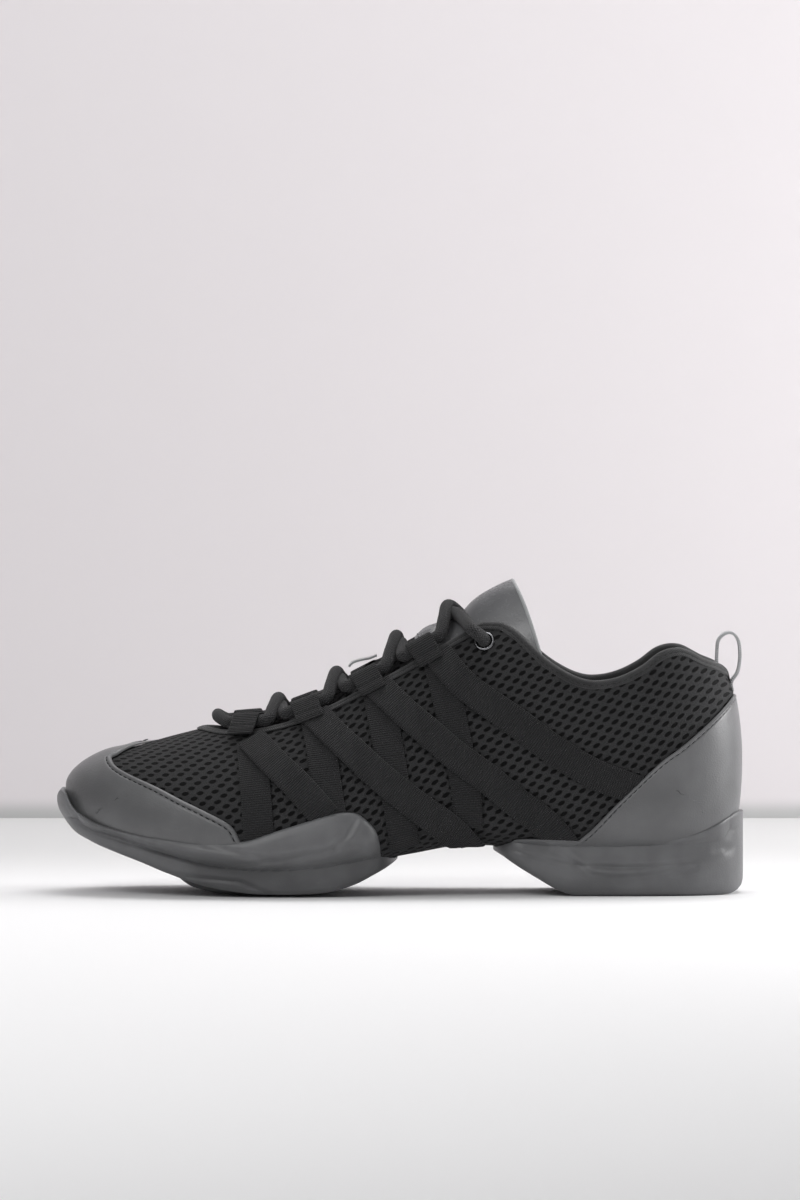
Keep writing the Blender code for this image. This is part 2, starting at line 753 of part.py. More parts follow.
def make_covers():
    """The toe cap and the heel counter: shells over the upper, cut along their edges and the soles' rims."""
    front = [(x, z) for x, z in rim_line(FOREFOOT_SOLE, CLEARANCE) if x < CAP_EDGE[0][0] * LENGTH]
    edge = scaled(CAP_EDGE)
    rim_end = float(smooth_table(FOREFOOT_SOLE)(CAP_EDGE[0][0])[0]) * INSTEP_HEIGHT + CLEARANCE
    edge[0] = (edge[0][0], rim_end)
    outline = [(-0.03 * LENGTH, front[0][1])] + front + edge + [(-0.03 * LENGTH, edge[-1][1])]
    boolean(cover_shell("toe_cap", leather), "INTERSECT", prism("cap_outline", outline, BALL_WIDTH))

    back = [(x, z) for x, z in rim_line(HEEL_SOLE, CLEARANCE) if x > COUNTER_EDGE[0][0] * LENGTH]
    edge = scaled(COUNTER_EDGE)
    rim_end = float(smooth_table(HEEL_SOLE)(COUNTER_EDGE[0][0])[0]) * INSTEP_HEIGHT + CLEARANCE
    edge[0] = (edge[0][0], rim_end)
    outline = edge + [(1.03 * LENGTH, edge[-1][1]), (1.03 * LENGTH, back[-1][1])] + back[::-1]
    counter = cover_shell("heel_counter", leather)
    boolean(counter, "INTERSECT", prism("counter_outline", outline, BALL_WIDTH))

    floor = -0.1 * INSTEP_HEIGHT
    gap = 1.5 * CLEARANCE
    front = rim_line(FOREFOOT_SOLE, CLEARANCE)
    back = [(x, z) for x, z in rim_line(HEEL_SOLE, CLEARANCE) if x < COUNTER_EDGE[0][0] * LENGTH - gap]
    hidden = [(-0.03 * LENGTH, floor), (-0.03 * LENGTH, front[0][1])] + front
    hidden += [(front[-1][0] + gap, front[-1][1]), (front[-1][0] + gap, floor)]
    hidden += [(back[0][0] - gap, floor), (back[0][0] - gap, back[0][1])] + back
    hidden += [(x - gap, z) for x, z in edge] + [(1.05 * LENGTH, edge[-1][1]), (1.05 * LENGTH, floor)]
    return prism("covered_below", hidden, BALL_WIDTH)


def between(a, b, c, d, share):
    """A point between b and c on the smooth curve through a, b, c and d, paced by the root of their gaps."""
    knots = [0.0]
    for start, end in ((a, b), (b, c), (c, d)):
        knots.append(knots[-1] + max((end - start).length, 1e-9) ** 0.5)
    t = knots[1] + (knots[2] - knots[1]) * share
    level = [a, b, c, d]
    for width in (1, 2):
        level = [
            start.lerp(end, (t - knots[i]) / (knots[i + width] - knots[i]))
            for i, (start, end) in enumerate(zip(level, level[1:]))
        ]
    return level[0].lerp(level[1], (t - knots[1]) / (knots[2] - knots[1]))


def smooth_steps(controls, steps):
    """The smooth curve through all the controls but the first and last, each span cut into its steps."""
    points = [controls[1].copy()]
    for i, count in enumerate(steps):
        points += [between(*controls[i : i + 4], (k + 1) / count) for k in range(count)]
    return points


def curve_points(points, pitch):
    """Points every pitch along a smooth line through the given ones."""
    controls = [Vector(point) for point in points]
    controls = [controls[0] * 2 - controls[1]] + controls + [controls[-1] * 2 - controls[-2]]
    fine = smooth_steps(controls, [12] * (len(points) - 1))
    lengths = [0.0]
    for a, b in zip(fine, fine[1:]):
        lengths.append(lengths[-1] + (b - a).length)
    count = max(int(round(lengths[-1] / pitch)), 2)
    found = []
    i = 0
    for k in range(count + 1):
        want = lengths[-1] * k / count
        while i < len(lengths) - 2 and lengths[i + 1] < want:
            i += 1
        share = (want - lengths[i]) / max(lengths[i + 1] - lengths[i], 1e-12)
        found.append(fine[i].lerp(fine[i + 1], min(share, 1.0)))
    return found


def band(grid, thickness):
    """A closed strip: grid holds its outer side as rows of points, and thickness goes inwards."""
    bm = bmesh.new()
    rows = [[bm.verts.new(point) for point in row] for row in grid]
    for near, far in zip(rows, rows[1:]):
        for j in range(len(near) - 1):
            bm.faces.new((near[j], near[j + 1], far[j + 1], far[j]))
    return thickened(bm, thickness)


def strap_line(points):
    """The middle line of a strap seen from the side, with closer points where it turns under the foot."""
    flat = [Vector((at * LENGTH, 0, height * INSTEP_HEIGHT)) for at, height in points]
    line = curve_points(flat, STRAP_PITCH)
    return line[:-2] + curve_points(line[-3:], STRAP_END_PITCH)[1:]


def distance_to(line, x, z):
    """How far (x, z) lies from a line of points, seen from the side."""
    best = 1.0
    place = Vector((x, z))
    for a, b in zip(line, line[1:]):
        start, end = Vector((a.x, a.z)), Vector((b.x, b.z))
        run = end - start
        share = min(max((place - start).dot(run) / run.length_squared, 0.0), 1.0)
        best = min(best, (start + run * share - place).length)
    return best


def make_strap(name, line, hand, lift, hidden):
    """A webbing strap laid on the upper, lifted where it passes over others."""
    grid = []
    for i, middle in enumerate(line):
        x, z = middle.x, middle.z
        run = line[min(i + 1, len(line) - 1)] - line[max(i - 1, 0)]
        turn = turn_at(x, z)
        normal = normal_at(x, turn, hand)
        slope = (on_last(x, min(turn + 1, 90), hand) - on_last(x, turn - 1, hand)).normalized()
        along = Vector((1, 0, 0)) * run.x + slope * (run.z / max(slope.z, 0.2))
        across = normal.cross(along).normalized() * hand
        row = []
        for share in (-0.5, 0.0, 0.5):
            place = across * (WEB_WIDTH * share)
            at_x, at_z = x + place.x, z + place.z
            height = CLEARANCE + STRAP_EASE + WEB + lift(at_x, at_z)
            low = section(at_x)[0] + 0.022 * INSTEP_HEIGHT
            row.append(off_last(at_x, max(at_z, low), hand, height))
        grid.append(row if hand < 0 else row[::-1])
    bm = band(grid, WEB)
    strap = new_object(name, bm, webbing, parts)
    boolean(strap, "DIFFERENCE", hidden)
    return strap


def make_straps(hidden):
    """Four straps go down from the throat on each side, and four slant back over them."""
    for side, hand in (("outer", -1), ("inner", 1)):
        downs = [strap_line(points) for points in STRAPS_DOWN]
        for i, line in enumerate(downs):
            make_strap(f"strap_down_{side}_{i + 1}", line, hand, lambda x, z: 0.0, hidden)

        def over(x, z):
            near = min(distance_to(line, x, z) for line in downs)
            return (WEB + 1.6 * CLEARANCE + STRAP_EASE) * ease((1.9 * WEB_WIDTH - near) / (0.7 * WEB_WIDTH))

        for i, points in enumerate(STRAPS_SLANT):
            name = f"strap_slant_{side}_{i + 1}"
            make_strap(name, strap_line(points), hand, over, hidden)


def throat_frame(x, hand):
    """At the throat's edge: the point, the normal, the way on past the edge, and the way along it."""
    step = 0.2 * LOOP_LENGTH
    turn = turn_at(x, edge_height(x))
    point = on_last(x, turn, hand)
    normal = normal_at(x, turn, hand)
    before = on_last(x - step, turn_at(x - step, edge_height(x - step)), hand)
    after = on_last(x + step, turn_at(x + step, edge_height(x + step)), hand)
    along = (after - before).normalized()
    past = normal.cross(along).normalized() * hand
    if past.z < 0:
        past = -past
    return point, normal, past, along


def loop_centre(at, hand, along_share=0.0):
    """The middle of a lace loop's tunnel, or a point that far along it as a share of its length."""
    point, normal, past, along = throat_frame(at * LENGTH, hand)
    outside = LACE_RADIUS + 1.4 * CLEARANCE + WEB
    out = 0.55 * outside
    reach = math.sqrt((outside + 1.5 * CLEARANCE) ** 2 - out**2)
    return point + normal * out + past * reach + along * (along_share * LOOP_LENGTH)


def make_loops():
    """The webbing folded over the lace at the throat's edge, as a short flat tube."""
    for side, hand in (("outer", -1), ("inner", 1)):
        for i, at in enumerate(LOOPS):
            _, normal, past, _ = throat_frame(at * LENGTH, hand)
            radius = LACE_RADIUS + 1.4 * CLEARANCE + WEB
            bm = bmesh.new()
            rings = []
            for reach, end in ((radius, -0.5), (radius, 0.5), (radius - WEB, 0.5), (radius - WEB, -0.5)):
                centre = loop_centre(at, hand, end)
                ring = []
                for k in range(10):
                    angle = 2 * math.pi * k / 10
                    spoke = normal * math.cos(angle) + past * math.sin(angle)
                    ring.append(bm.verts.new(centre + spoke * reach))
                rings.append(ring)
            for r in range(4):
                near, far = rings[r], rings[(r + 1) % 4]
                for k in range(10):
                    j = (k + 1) % 10
                    bm.faces.new((near[k], near[j], far[j], far[k]))
            bmesh.ops.recalc_face_normals(bm, faces=bm.faces)
            new_object(f"lace_loop_{side}_{i + 1}", bm, webbing, parts)


def eyelet_frame(hand):
    x, z = EYELET_AT[0] * LENGTH, EYELET_AT[1] * INSTEP_HEIGHT
    turn = turn_at(x, z)
    return on_last(x, turn, hand), normal_at(x, turn, hand)


def turned(profile, place, axis, sides):
    """A ring turned round an axis: profile holds its corners as (radius, height) pairs."""
    bm = bmesh.new()
    side = axis.orthogonal().normalized()
    other = axis.cross(side)
    rings = []
    for radius, height in profile:
        ring = []
        for k in range(sides):
            angle = 2 * math.pi * k / sides
            spoke = side * math.cos(angle) + other * math.sin(angle)
            ring.append(bm.verts.new(place + axis * height + spoke * radius))
        rings.append(ring)
    for r, near in enumerate(rings):
        far = rings[(r + 1) % len(rings)]
        for k in range(sides):
            j = (k + 1) % sides
            bm.faces.new((near[k], near[j], far[j], far[k]))
    bmesh.ops.recalc_face_normals(bm, faces=bm.faces)
    return bm


def make_eyelets(upper):
    """A metal eyelet in each top corner of the throat: a flange on the face and a barrel through the wall."""
    bore = LACE_RADIUS + CLEARANCE
    barrel = bore + EYELET_WALL
    for side, hand in (("outer", -1), ("inner", 1)):
        place, axis = eyelet_frame(hand)
        low = -0.6 * WALL
        profile = (
            (bore, low),
            (barrel, low),
            (barrel, CLEARANCE),
            (EYELET_RADIUS, CLEARANCE),
            (EYELET_RADIUS - 0.3 * EYELET_FLANGE, CLEARANCE + EYELET_FLANGE),
            (bore + 0.3 * EYELET_FLANGE, CLEARANCE + EYELET_FLANGE),
        )
        new_object(f"eyelet_{side}", turned(profile, place, axis, 14), steel, parts)
        bpy.ops.mesh.primitive_cylinder_add(vertices=14, radius=barrel + CLEARANCE, depth=8 * WALL)
        hole = bpy.context.object
        hole.name = f"eyelet_hole_{side}"
        turn = Vector((0, 0, 1)).rotation_difference(axis).to_matrix().to_4x4()
        turn.translation = place
        hole.data.transform(turn)
        hole.hide_render = True
        hole.display_type = "WIRE"
        bpy.context.collection.objects.unlink(hole)
        cutters.objects.link(hole)
        hole.parent = root
        boolean(upper, "DIFFERENCE", hole)


def lace_mesh(name, points, radius):
    """A round lace along a line of points, as a closed mesh."""
    curve = bpy.data.curves.new(name, "CURVE")
    curve.dimensions = "3D"
    curve.bevel_depth = radius
    curve.bevel_resolution = 2
    curve.use_fill_caps = True
    spline = curve.splines.new("POLY")
    spline.points.add(len(points) - 1)
    for point, place in zip(spline.points, points):
        point.co = (*place, 1.0)
    obj = bpy.data.objects.new(name, curve)
    parts.objects.link(obj)
    graph = bpy.context.evaluated_depsgraph_get()
    mesh = bpy.data.meshes.new_from_object(obj.evaluated_get(graph))
    bpy.data.objects.remove(obj, do_unlink=True)
    bm = bmesh.new()
    bm.from_mesh(mesh)
    bmesh.ops.remove_doubles(bm, verts=bm.verts, dist=0.01 * MM)
    bmesh.ops.recalc_face_normals(bm, faces=bm.faces)
    return bm


def on_tongue(x, turn, hand, above):
    """A point of the lace's middle line where it lies on the tongue, or that far above it."""
    share = (x - TONGUE_FRONT) / (TONGUE_TOP - TONGUE_FRONT)
    normal = crown_normal(x) if turn > 89 else normal_at(x, turn, hand)
    out = tongue_face(x, turn, share, WALL) + 2.4 * CLEARANCE + LACE_RADIUS + above
    return on_last(x, turn, hand) + normal * out


def lace_half(start_hand):
    """One half of the lace: up through the loops from side to side over the tongue, to an eyelet."""
    line = [loop_centre(LOOPS[0], start_hand, -LACE_LEAD)]
    hand = start_hand
    for i, at in enumerate(LOOPS):
        above = 1.75 * LACE_RADIUS if (i % 2 == 0) == (start_hand < 0) else 0.0
        crossing = CROSSINGS[i] * LENGTH
        leaves = loop_centre(at, hand, LACE_LEAD)
        if i < len(LOOPS) - 1:
            enters = [loop_centre(LOOPS[i + 1], -hand, share) for share in (-LACE_LEAD, 0)]
            steps = (3, 2, 2, 3)
        else:
            place, axis = eyelet_frame(-hand)
            forward = Vector((-1, 0, 0.6)).normalized()
            enters = [place + axis * (2.5 * LACE_RADIUS) + forward * (1.6 * LACE_RADIUS)]
            enters.append(place + axis * (2.0 * LACE_RADIUS) + forward * (0.4 * LACE_RADIUS))
            enters += [place + axis * LACE_RADIUS, place]
            steps = (3, 2, 2, 2, 1, 2)
        before = on_tongue(crossing + 0.4 * (leaves.x - crossing), 74, hand, 0.7 * above)
        over = on_tongue(crossing, 90, hand, above)
        beyond = on_tongue(crossing + 0.4 * (enters[0].x - crossing), 74, -hand, 0.7 * above)
        line += smooth_steps([loop_centre(at, hand), leaves, before, over, beyond] + enters, steps)
        hand = -hand
    line.append(place - axis * (0.5 * WALL))
    return line


def make_lace():
    """The lace: two halves that cross over the tongue, and the bar that joins them before the first loops."""
    lace = new_object("lace", lace_mesh("lace_outer", lace_half(-1), LACE_RADIUS), cord, parts)
    other = new_cutter("lace_inner", lace_mesh("lace_inner", lace_half(1), LACE_RADIUS))
    ends = [loop_centre(LOOPS[0], hand, -LACE_LEAD - 0.02) for hand in (-1, 1)]
    inside = [loop_centre(LOOPS[0], hand, -0.4) for hand in (-1, 1)]
    front_x = LOOPS[0] * LENGTH - 1.05 * LOOP_LENGTH
    middle = on_last(front_x, 90, 1) + Vector((0, 0, LACE_RADIUS + 2 * CLEARANCE))
    quarter = [end.lerp(middle, 0.45) + Vector((-1.1, 0, 0.5)) * LACE_RADIUS for end in ends]
    arc = [inside[0], ends[0], quarter[0], middle, quarter[1], ends[1], inside[1]]
    line = [inside[0]] + smooth_steps(arc, (3, 2, 2, 3)) + [inside[1]]
    bar = new_cutter("lace_bar", lace_mesh("lace_bar", line, 0.96 * LACE_RADIUS))
    boolean(lace, "UNION", other)
    boolean(lace, "UNION", bar)


def make_middle_band(name, line, width, thickness, material, pitch):
    """A ribbon that runs along the shoe's middle line, drawn on it from the side."""
    flat = [Vector((at * LENGTH, 0, height * INSTEP_HEIGHT)) for at, height in line]
    grid = []
    for place in curve_points(flat, pitch):
        side = section(min(max(place.x, FORM_START), FORM_END))[4]
        grid.append([Vector((place.x, side + width * share, place.z)) for share in (0.5, -0.5)])
    return new_object(name, band(grid, thickness), material, parts)


def settle():
    """Puts the middle of the shoe's footprint at the origin, with the ground at height 0."""
    bpy.context.view_layer.update()
    graph = bpy.context.evaluated_depsgraph_get()
    corners = []
    for obj in parts.objects:
        if obj.type == "MESH":
            corners += [Vector(corner) for corner in obj.evaluated_get(graph).bound_box]
    low = Vector(map(min, zip(*corners)))
    high = Vector(map(max, zip(*corners)))
    root.location = (-(low.x + high.x) / 2, -(low.y + high.y) / 2, -low.z)


clear_scene()
parts = new_collection("dance_sneaker")
cutters = new_collection("cutters")
root = bpy.data.objects.new("shoe", None)
parts.objects.link(root)

knit = new_material("knit", (0.030, 0.030, 0.032), 0.85)
lining = new_material("lining", (0.025, 0.025, 0.026), 0.90)
glossy = new_material("glossy_synthetic", (0.110, 0.112, 0.115), 0.35)
leather = new_material("synthetic_leather", (0.055, 0.056, 0.058), 0.50)
rubber = new_material("sole_rubber", (0.060, 0.061, 0.063), 0.45)
webbing = new_material("webbing", (0.018, 0.018, 0.019), 0.75)
cord = new_material("lace_cord", (0.030, 0.030, 0.031), 0.80)
steel = new_material("eyelet_metal", (0.450, 0.450, 0.460), 0.25, 1.0)
ribbon = new_material("pull_ribbon", (0.420, 0.430, 0.440), 0.55)

upper = make_upper()
make_insole()
make_tongue()
make_soles()
covered = make_covers()
make_straps(covered)
make_loops()
make_eyelets(upper)
make_lace()
make_middle_band("lace_keeper", KEEPER_LINE, KEEPER_WIDTH, KEEPER, glossy, KEEPER_WIDTH / 4)
make_middle_band("pull_loop", PULL_LINE, PULL_WIDTH, PULL, ribbon, PULL_WIDTH / 3)
settle()
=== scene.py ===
# The look of a black split-sole dance sneaker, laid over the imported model.
# Metres. The toe points along -X, the outer side of the foot faces -Y, and +Z is up.

import math

import bmesh
import bpy
import numpy as np
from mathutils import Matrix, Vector


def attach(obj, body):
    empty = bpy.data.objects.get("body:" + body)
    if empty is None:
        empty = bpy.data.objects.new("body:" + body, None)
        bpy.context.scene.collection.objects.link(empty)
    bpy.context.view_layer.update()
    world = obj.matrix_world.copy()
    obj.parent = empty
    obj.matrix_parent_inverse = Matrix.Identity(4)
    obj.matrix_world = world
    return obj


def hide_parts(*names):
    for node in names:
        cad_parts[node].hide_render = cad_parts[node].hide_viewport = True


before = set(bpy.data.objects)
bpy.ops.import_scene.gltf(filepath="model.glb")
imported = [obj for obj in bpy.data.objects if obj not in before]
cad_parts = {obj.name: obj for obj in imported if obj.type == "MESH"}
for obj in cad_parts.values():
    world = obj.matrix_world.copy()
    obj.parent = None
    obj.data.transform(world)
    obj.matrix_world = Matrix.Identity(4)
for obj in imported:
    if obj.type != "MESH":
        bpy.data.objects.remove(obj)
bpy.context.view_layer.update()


# Studio: a pale floor with painted shade that darkens it towards the back, and a pale wall that meets it in
# a faint line of painted shade; soft light from the front left, from behind the shoe and from the heel's
# side.
# A long lens looks straight at the outer side, as in the photo.
MM = 0.001
bpy.ops.object.select_all(action="DESELECT")
scene = bpy.context.scene
scene.view_settings.view_transform = "Standard"


def stage_plane(name, corners, near, far, start, end, axis):
    """A plane in one plain colour that fades to another along an axis."""
    bpy.ops.mesh.primitive_plane_add(size=1)
    plane = bpy.context.object
    plane.name = name
    for vertex, corner in zip(plane.data.vertices, corners):
        vertex.co = corner
    material = bpy.data.materials.new(name)
    material.use_nodes = True
    tree = material.node_tree
    shader = tree.nodes["Principled BSDF"]
    shader.inputs["Roughness"].default_value = 0.75
    shader.inputs["Specular IOR Level"].default_value = 0.1
    place = tree.nodes.new("ShaderNodeTexCoord")
    parts = tree.nodes.new("ShaderNodeSeparateXYZ")
    fade = tree.nodes.new("ShaderNodeMapRange")
    fade.interpolation_type = "SMOOTHERSTEP"
    fade.inputs["From Min"].default_value = start
    fade.inputs["From Max"].default_value = end
    blend = tree.nodes.new("ShaderNodeMix")
    blend.data_type = "RGBA"
    blend.inputs[6].default_value = (*near, 1)
    blend.inputs[7].default_value = (*far, 1)
    tree.links.new(place.outputs["Object"], parts.inputs[0])
    tree.links.new(parts.outputs[axis], fade.inputs["Value"])
    tree.links.new(fade.outputs[0], blend.inputs[0])
    tree.links.new(blend.outputs[2], shader.inputs["Base Color"])
    plane.data.materials.append(material)
    return plane


def one_sided(material):
    """Lets a backdrop be looked through from behind."""
    tree = material.node_tree
    side = tree.nodes.new("ShaderNodeNewGeometry")
    clear = tree.nodes.new("ShaderNodeBsdfTransparent")
    mix = tree.nodes.new("ShaderNodeMixShader")
    tree.links.new(side.outputs["Backfacing"], mix.inputs[0])
    tree.links.new(tree.nodes["Principled BSDF"].outputs[0], mix.inputs[1])
    tree.links.new(clear.outputs[0], mix.inputs[2])
    tree.links.new(mix.outputs[0], tree.nodes["Material Output"].inputs["Surface"])


STAGE_SIDE = 6
STAGE_FRONT = -3.5
WALL_AT = 0.545
WALL_TOP = 5
# Painted shade: the floor's colour darkens from in front of the shoe towards the wall at the back.
floor = stage_plane(
    "studio_floor",
    (
        (-STAGE_SIDE, STAGE_FRONT, 0), (STAGE_SIDE, STAGE_FRONT, 0),
        (-STAGE_SIDE, STAGE_SIDE, 0), (STAGE_SIDE, STAGE_SIDE, 0),
    ),
    (0.86, 0.86, 0.865), (0.62, 0.62, 0.62), -0.10, 0.38, "Y",
)
# Painted shade: the wall's lowest 11 mm are painted dark, a faint line where it meets the floor.
wall_plane = stage_plane(
    "studio_wall",
    (
        (-STAGE_SIDE, WALL_AT, 0), (STAGE_SIDE, WALL_AT, 0),
        (-STAGE_SIDE, WALL_AT, WALL_TOP), (STAGE_SIDE, WALL_AT, WALL_TOP),
    ),
    (0.48, 0.48, 0.48), (0.73, 0.695, 0.712), 0.0, 0.011, "Z",
)
one_sided(wall_plane.data.materials[0])

CAMERA_DISTANCE = 3.4
CAMERA_RISE = math.radians(1.6)
VIEW_HEIGHT = 0.4582
VIEW_MIDDLE = (0.0, -0.035, 0.1138)
camera_data = bpy.data.cameras.new("camera")
camera_data.sensor_fit = "VERTICAL"
camera_data.sensor_height = 24
camera_data.lens = 24 * CAMERA_DISTANCE / VIEW_HEIGHT
camera = bpy.data.objects.new("camera", camera_data)
scene.collection.objects.link(camera)
camera.location = (
    VIEW_MIDDLE[0],
    VIEW_MIDDLE[1] - CAMERA_DISTANCE * math.cos(CAMERA_RISE),
    VIEW_MIDDLE[2] + CAMERA_DISTANCE * math.sin(CAMERA_RISE),
)
camera.rotation_euler = (math.pi / 2 - CAMERA_RISE, 0, 0)
scene.camera = camera


def soft_light(name, place, aim, size, power):
    """A square soft box that points from its place at its aim."""
    data = bpy.data.lights.new(name, "AREA")
    data.size = size
    data.energy = power
    light = bpy.data.objects.new(name, data)
    scene.collection.objects.link(light)
    light.location = place
    light.rotation_euler = (Vector(aim) - Vector(place)).to_track_quat("-Z", "Y").to_euler()


soft_light("key", (-0.7, -1.2, 1.1), (0, 0, 0.05), 0.7, 8.4)
soft_light("top", (0.1, 0.42, 1.15), (0, 0, 0.05), 0.8, 11)
soft_light("heel_edge", (0.85, 0.10, 0.30), (0.1, 0, 0.06), 0.35, 6)
soft_light("wall_wash", (0, -0.9, 1.7), (0, WALL_AT, 0.4), 1.6, 6)
world = bpy.data.worlds.new("studio")
scene.world = world
world.use_nodes = True
world.node_tree.nodes["Background"].inputs["Color"].default_value = (1, 1, 1, 1)
world.node_tree.nodes["Background"].inputs["Strength"].default_value = 0.22


# Upper: one skin of stretch knit with oval holes, padded round the collar and lined in plain cloth.
# Its form is the last: sections in planes across the foot, rounded off at the toe and the heel.
LENGTH = 265 * MM
BALL_WIDTH = 91 * MM
INSTEP_HEIGHT = 120 * MM
PLACE = np.array((-0.1326085, 0.000363, 0.0))  # the model's toe tip in the row frame
WALL = 1.8 * MM
COLLAR_WALL = 3.6 * MM
COLLAR_PAD_DEPTH = 26 * MM
FORM_START = 4.9 * MM
FORM_END = LENGTH - 1.9 * MM
BOTTOM_SQUARENESS = 3.4
# at: share of the length; low, widest, crown: heights; half: half-width; side: shift; arch: roundness
LAST = (
    (0.000, 0.205, 0.300, 0.428, 0.400, 0.085, 2.20),
    (0.060, 0.192, 0.270, 0.443, 0.445, 0.080, 2.20),
    (0.110, 0.163, 0.240, 0.465, 0.455, 0.068, 2.15),
    (0.160, 0.127, 0.215, 0.497, 0.470, 0.050, 2.10),
    (0.215, 0.093, 0.195, 0.529, 0.487, 0.025, 2.05),
    (0.300, 0.071, 0.185, 0.580, 0.500, -0.006, 1.95),
    (0.380, 0.078, 0.200, 0.650, 0.475, -0.026, 1.88),
    (0.455, 0.104, 0.235, 0.740, 0.430, -0.033, 1.85),
    (0.520, 0.131, 0.275, 0.830, 0.394, -0.028, 1.85),
    (0.600, 0.157, 0.305, 0.930, 0.368, -0.016, 1.95),
    (0.660, 0.150, 0.315, 0.998, 0.362, -0.006, 2.15),
    (0.720, 0.135, 0.325, 1.030, 0.364, 0.000, 2.40),
    (0.800, 0.130, 0.345, 1.030, 0.370, 0.002, 2.60),
    (0.880, 0.130, 0.375, 1.000, 0.366, 0.002, 2.60),
    (0.950, 0.133, 0.410, 0.980, 0.350, 0.000, 2.50),
    (1.000, 0.140, 0.430, 0.965, 0.330, 0.000, 2.40),
)
# The edge of the throat and the collar: at, height
EDGE = (
    (0.2150, 0.5220), (0.2780, 0.5250), (0.3700, 0.5760), (0.4585, 0.6700), (0.5400, 0.7680),
    (0.5960, 0.8380), (0.6230, 0.8690), (0.6440, 0.8690), (0.6680, 0.8430), (0.6880, 0.8020),
    (0.7080, 0.7600), (0.7310, 0.7240), (0.7560, 0.6960), (0.7820, 0.6845), (0.8170, 0.6970),
    (0.8520, 0.7350), (0.8780, 0.7770), (0.9030, 0.7890), (0.9380, 0.7560), (0.9700, 0.7190),
    (0.9870, 0.6700),
)
THROAT_FRONT = EDGE[0][0] * LENGTH
COLLAR_BACK = 258.6 * MM


def smooth(value):
    """A smooth step from 0 to 1."""
    value = np.clip(value, 0.0, 1.0)
    return value * value * (3 - 2 * value)


def smooth_table(rows):
    """A function of the first column that passes a monotone cubic curve through each other column."""
    data = np.array(rows, dtype=float)
    x = data[:, 0]
    y = data[:, 1:]
    step = np.diff(x)[:, None]
    slope = np.diff(y, axis=0) / step
    tangent = np.zeros_like(y)
    tangent[0] = slope[0]
    tangent[-1] = slope[-1]
    turning = slope[:-1] * slope[1:] > 0
    weighted = (slope[:-1] * step[1:] + slope[1:] * step[:-1]) / (step[1:] + step[:-1])
    limit = 3 * np.minimum(abs(slope[:-1]), abs(slope[1:]))
    tangent[1:-1] = np.where(turning, np.clip(weighted, -limit, limit), 0)

    def at(value):
        value = np.clip(np.asarray(value, dtype=float), x[0], x[-1])
        i = np.clip(np.searchsorted(x, value, side="right") - 1, 0, len(x) - 2)
        h = x[i + 1] - x[i]
        t = (value - x[i]) / h
        found = []
        for column in range(y.shape[1]):
            found.append(
                (2 * t**3 - 3 * t**2 + 1) * y[i, column]
                + (t**3 - 2 * t**2 + t) * h * tangent[i, column]
                + (3 * t**2 - 2 * t**3) * y[i + 1, column]
                + (t**3 - t**2) * h * tangent[i + 1, column]
            )
        return found

    return at


last_at = smooth_table(LAST)
edge_at = smooth_table(EDGE)


def rounding(distance, reach, squareness=2.0):
    share = np.clip(1 - distance / reach, 0.0, 1.0)
    return (1 - share**squareness) ** (1 / squareness)


def section(x):
    """The last's section in the plane at x: heights low, widest and crown, half-width, side, arch."""
    low, widest, crown, half, side, arch = last_at(x / LENGTH)
    to_toe = x - FORM_START
    to_heel = FORM_END - x
    half = half * rounding(to_toe, 56 * MM, 2.3) * rounding(to_heel, 34 * MM, 2.3)
    for pole, distance, top, bottom, squareness in (
        (0.345, to_toe, 17 * MM, 11 * MM, 1.75),
        (0.430, to_heel, 34 * MM, 8 * MM, 2.0),
    ):
        crown = pole + (crown - pole) * rounding(distance, top, squareness)
        low = pole + (low - pole) * rounding(distance, bottom)
        widest = pole + (widest - pole) * rounding(distance, max(top, bottom))
    high = INSTEP_HEIGHT
    return low * high, widest * high, crown * high, half * BALL_WIDTH, side * BALL_WIDTH, arch


def turn_at(x, z):
    """Where the section at x meets the height z: -90 is the bottom, 0 the widest, 90 the crown."""
    low, widest, crown, _, _, arch = section(x)
    above = np.clip((z - widest) / np.maximum(crown - widest, 1e-9), 0, 1) ** (arch / 2)
    below = np.clip((widest - z) / np.maximum(widest - low, 1e-9), 0, 1) ** (BOTTOM_SQUARENESS / 2)
    return np.degrees(np.where(z >= widest, np.arcsin(above), -np.arcsin(below)))


def on_last(x, turn, hand):
    """Points of the last, in the row frame. hand is 1 on the inner side and -1 on the outer side."""
    x, turn, hand = np.broadcast_arrays(x, turn, hand)
    low, widest, crown, half, side, arch = section(x)
    cos = np.maximum(np.cos(np.radians(turn)), 0.0)
    sin = abs(np.sin(np.radians(turn)))
    power = np.where(turn >= 0, 2 / arch, 2 / BOTTOM_SQUARENESS)
    height = np.where(turn >= 0, crown - widest, low - widest)
    return np.stack((x, side + hand * half * cos**power, widest + height * sin**power), axis=-1) + PLACE


def unit(vectors):
    return vectors / np.maximum(np.linalg.norm(vectors, axis=-1, keepdims=True), 1e-12)


def normal_at(x, turn, hand):
    """The outward normals of the last, level across its middle line."""
    x, turn, hand = np.broadcast_arrays(x, turn, hand)

    def one_side(side, angle):
        along = on_last(x + 0.5 * MM, angle, side) - on_last(x - 0.5 * MM, angle, side)
        up = on_last(x, np.minimum(angle + 0.5, 90), side) - on_last(x, angle - 0.5, side)
        return unit(np.cross(along, up) * -np.asarray(side)[..., None])

    own = one_side(hand, np.minimum(turn, 89.0))
    other = one_side(-hand, np.minimum(turn, 89.0))
    mix = np.clip((turn - 80) / 10, 0, 1)[..., None] * 0.5
    return unit(own * (1 - mix) + other * mix)


def values_of(items, field, width=3):
    """A mesh's own values as an array, with a row for each of its items."""
    values = np.empty(len(items) * width, dtype=np.float32)
    items.foreach_get(field, values)
    return values.reshape(-1, width)


def move_to(mesh, points):
    mesh.vertices.foreach_set("co", points.reshape(-1, 3).astype(np.float32).ravel())
    mesh.update()


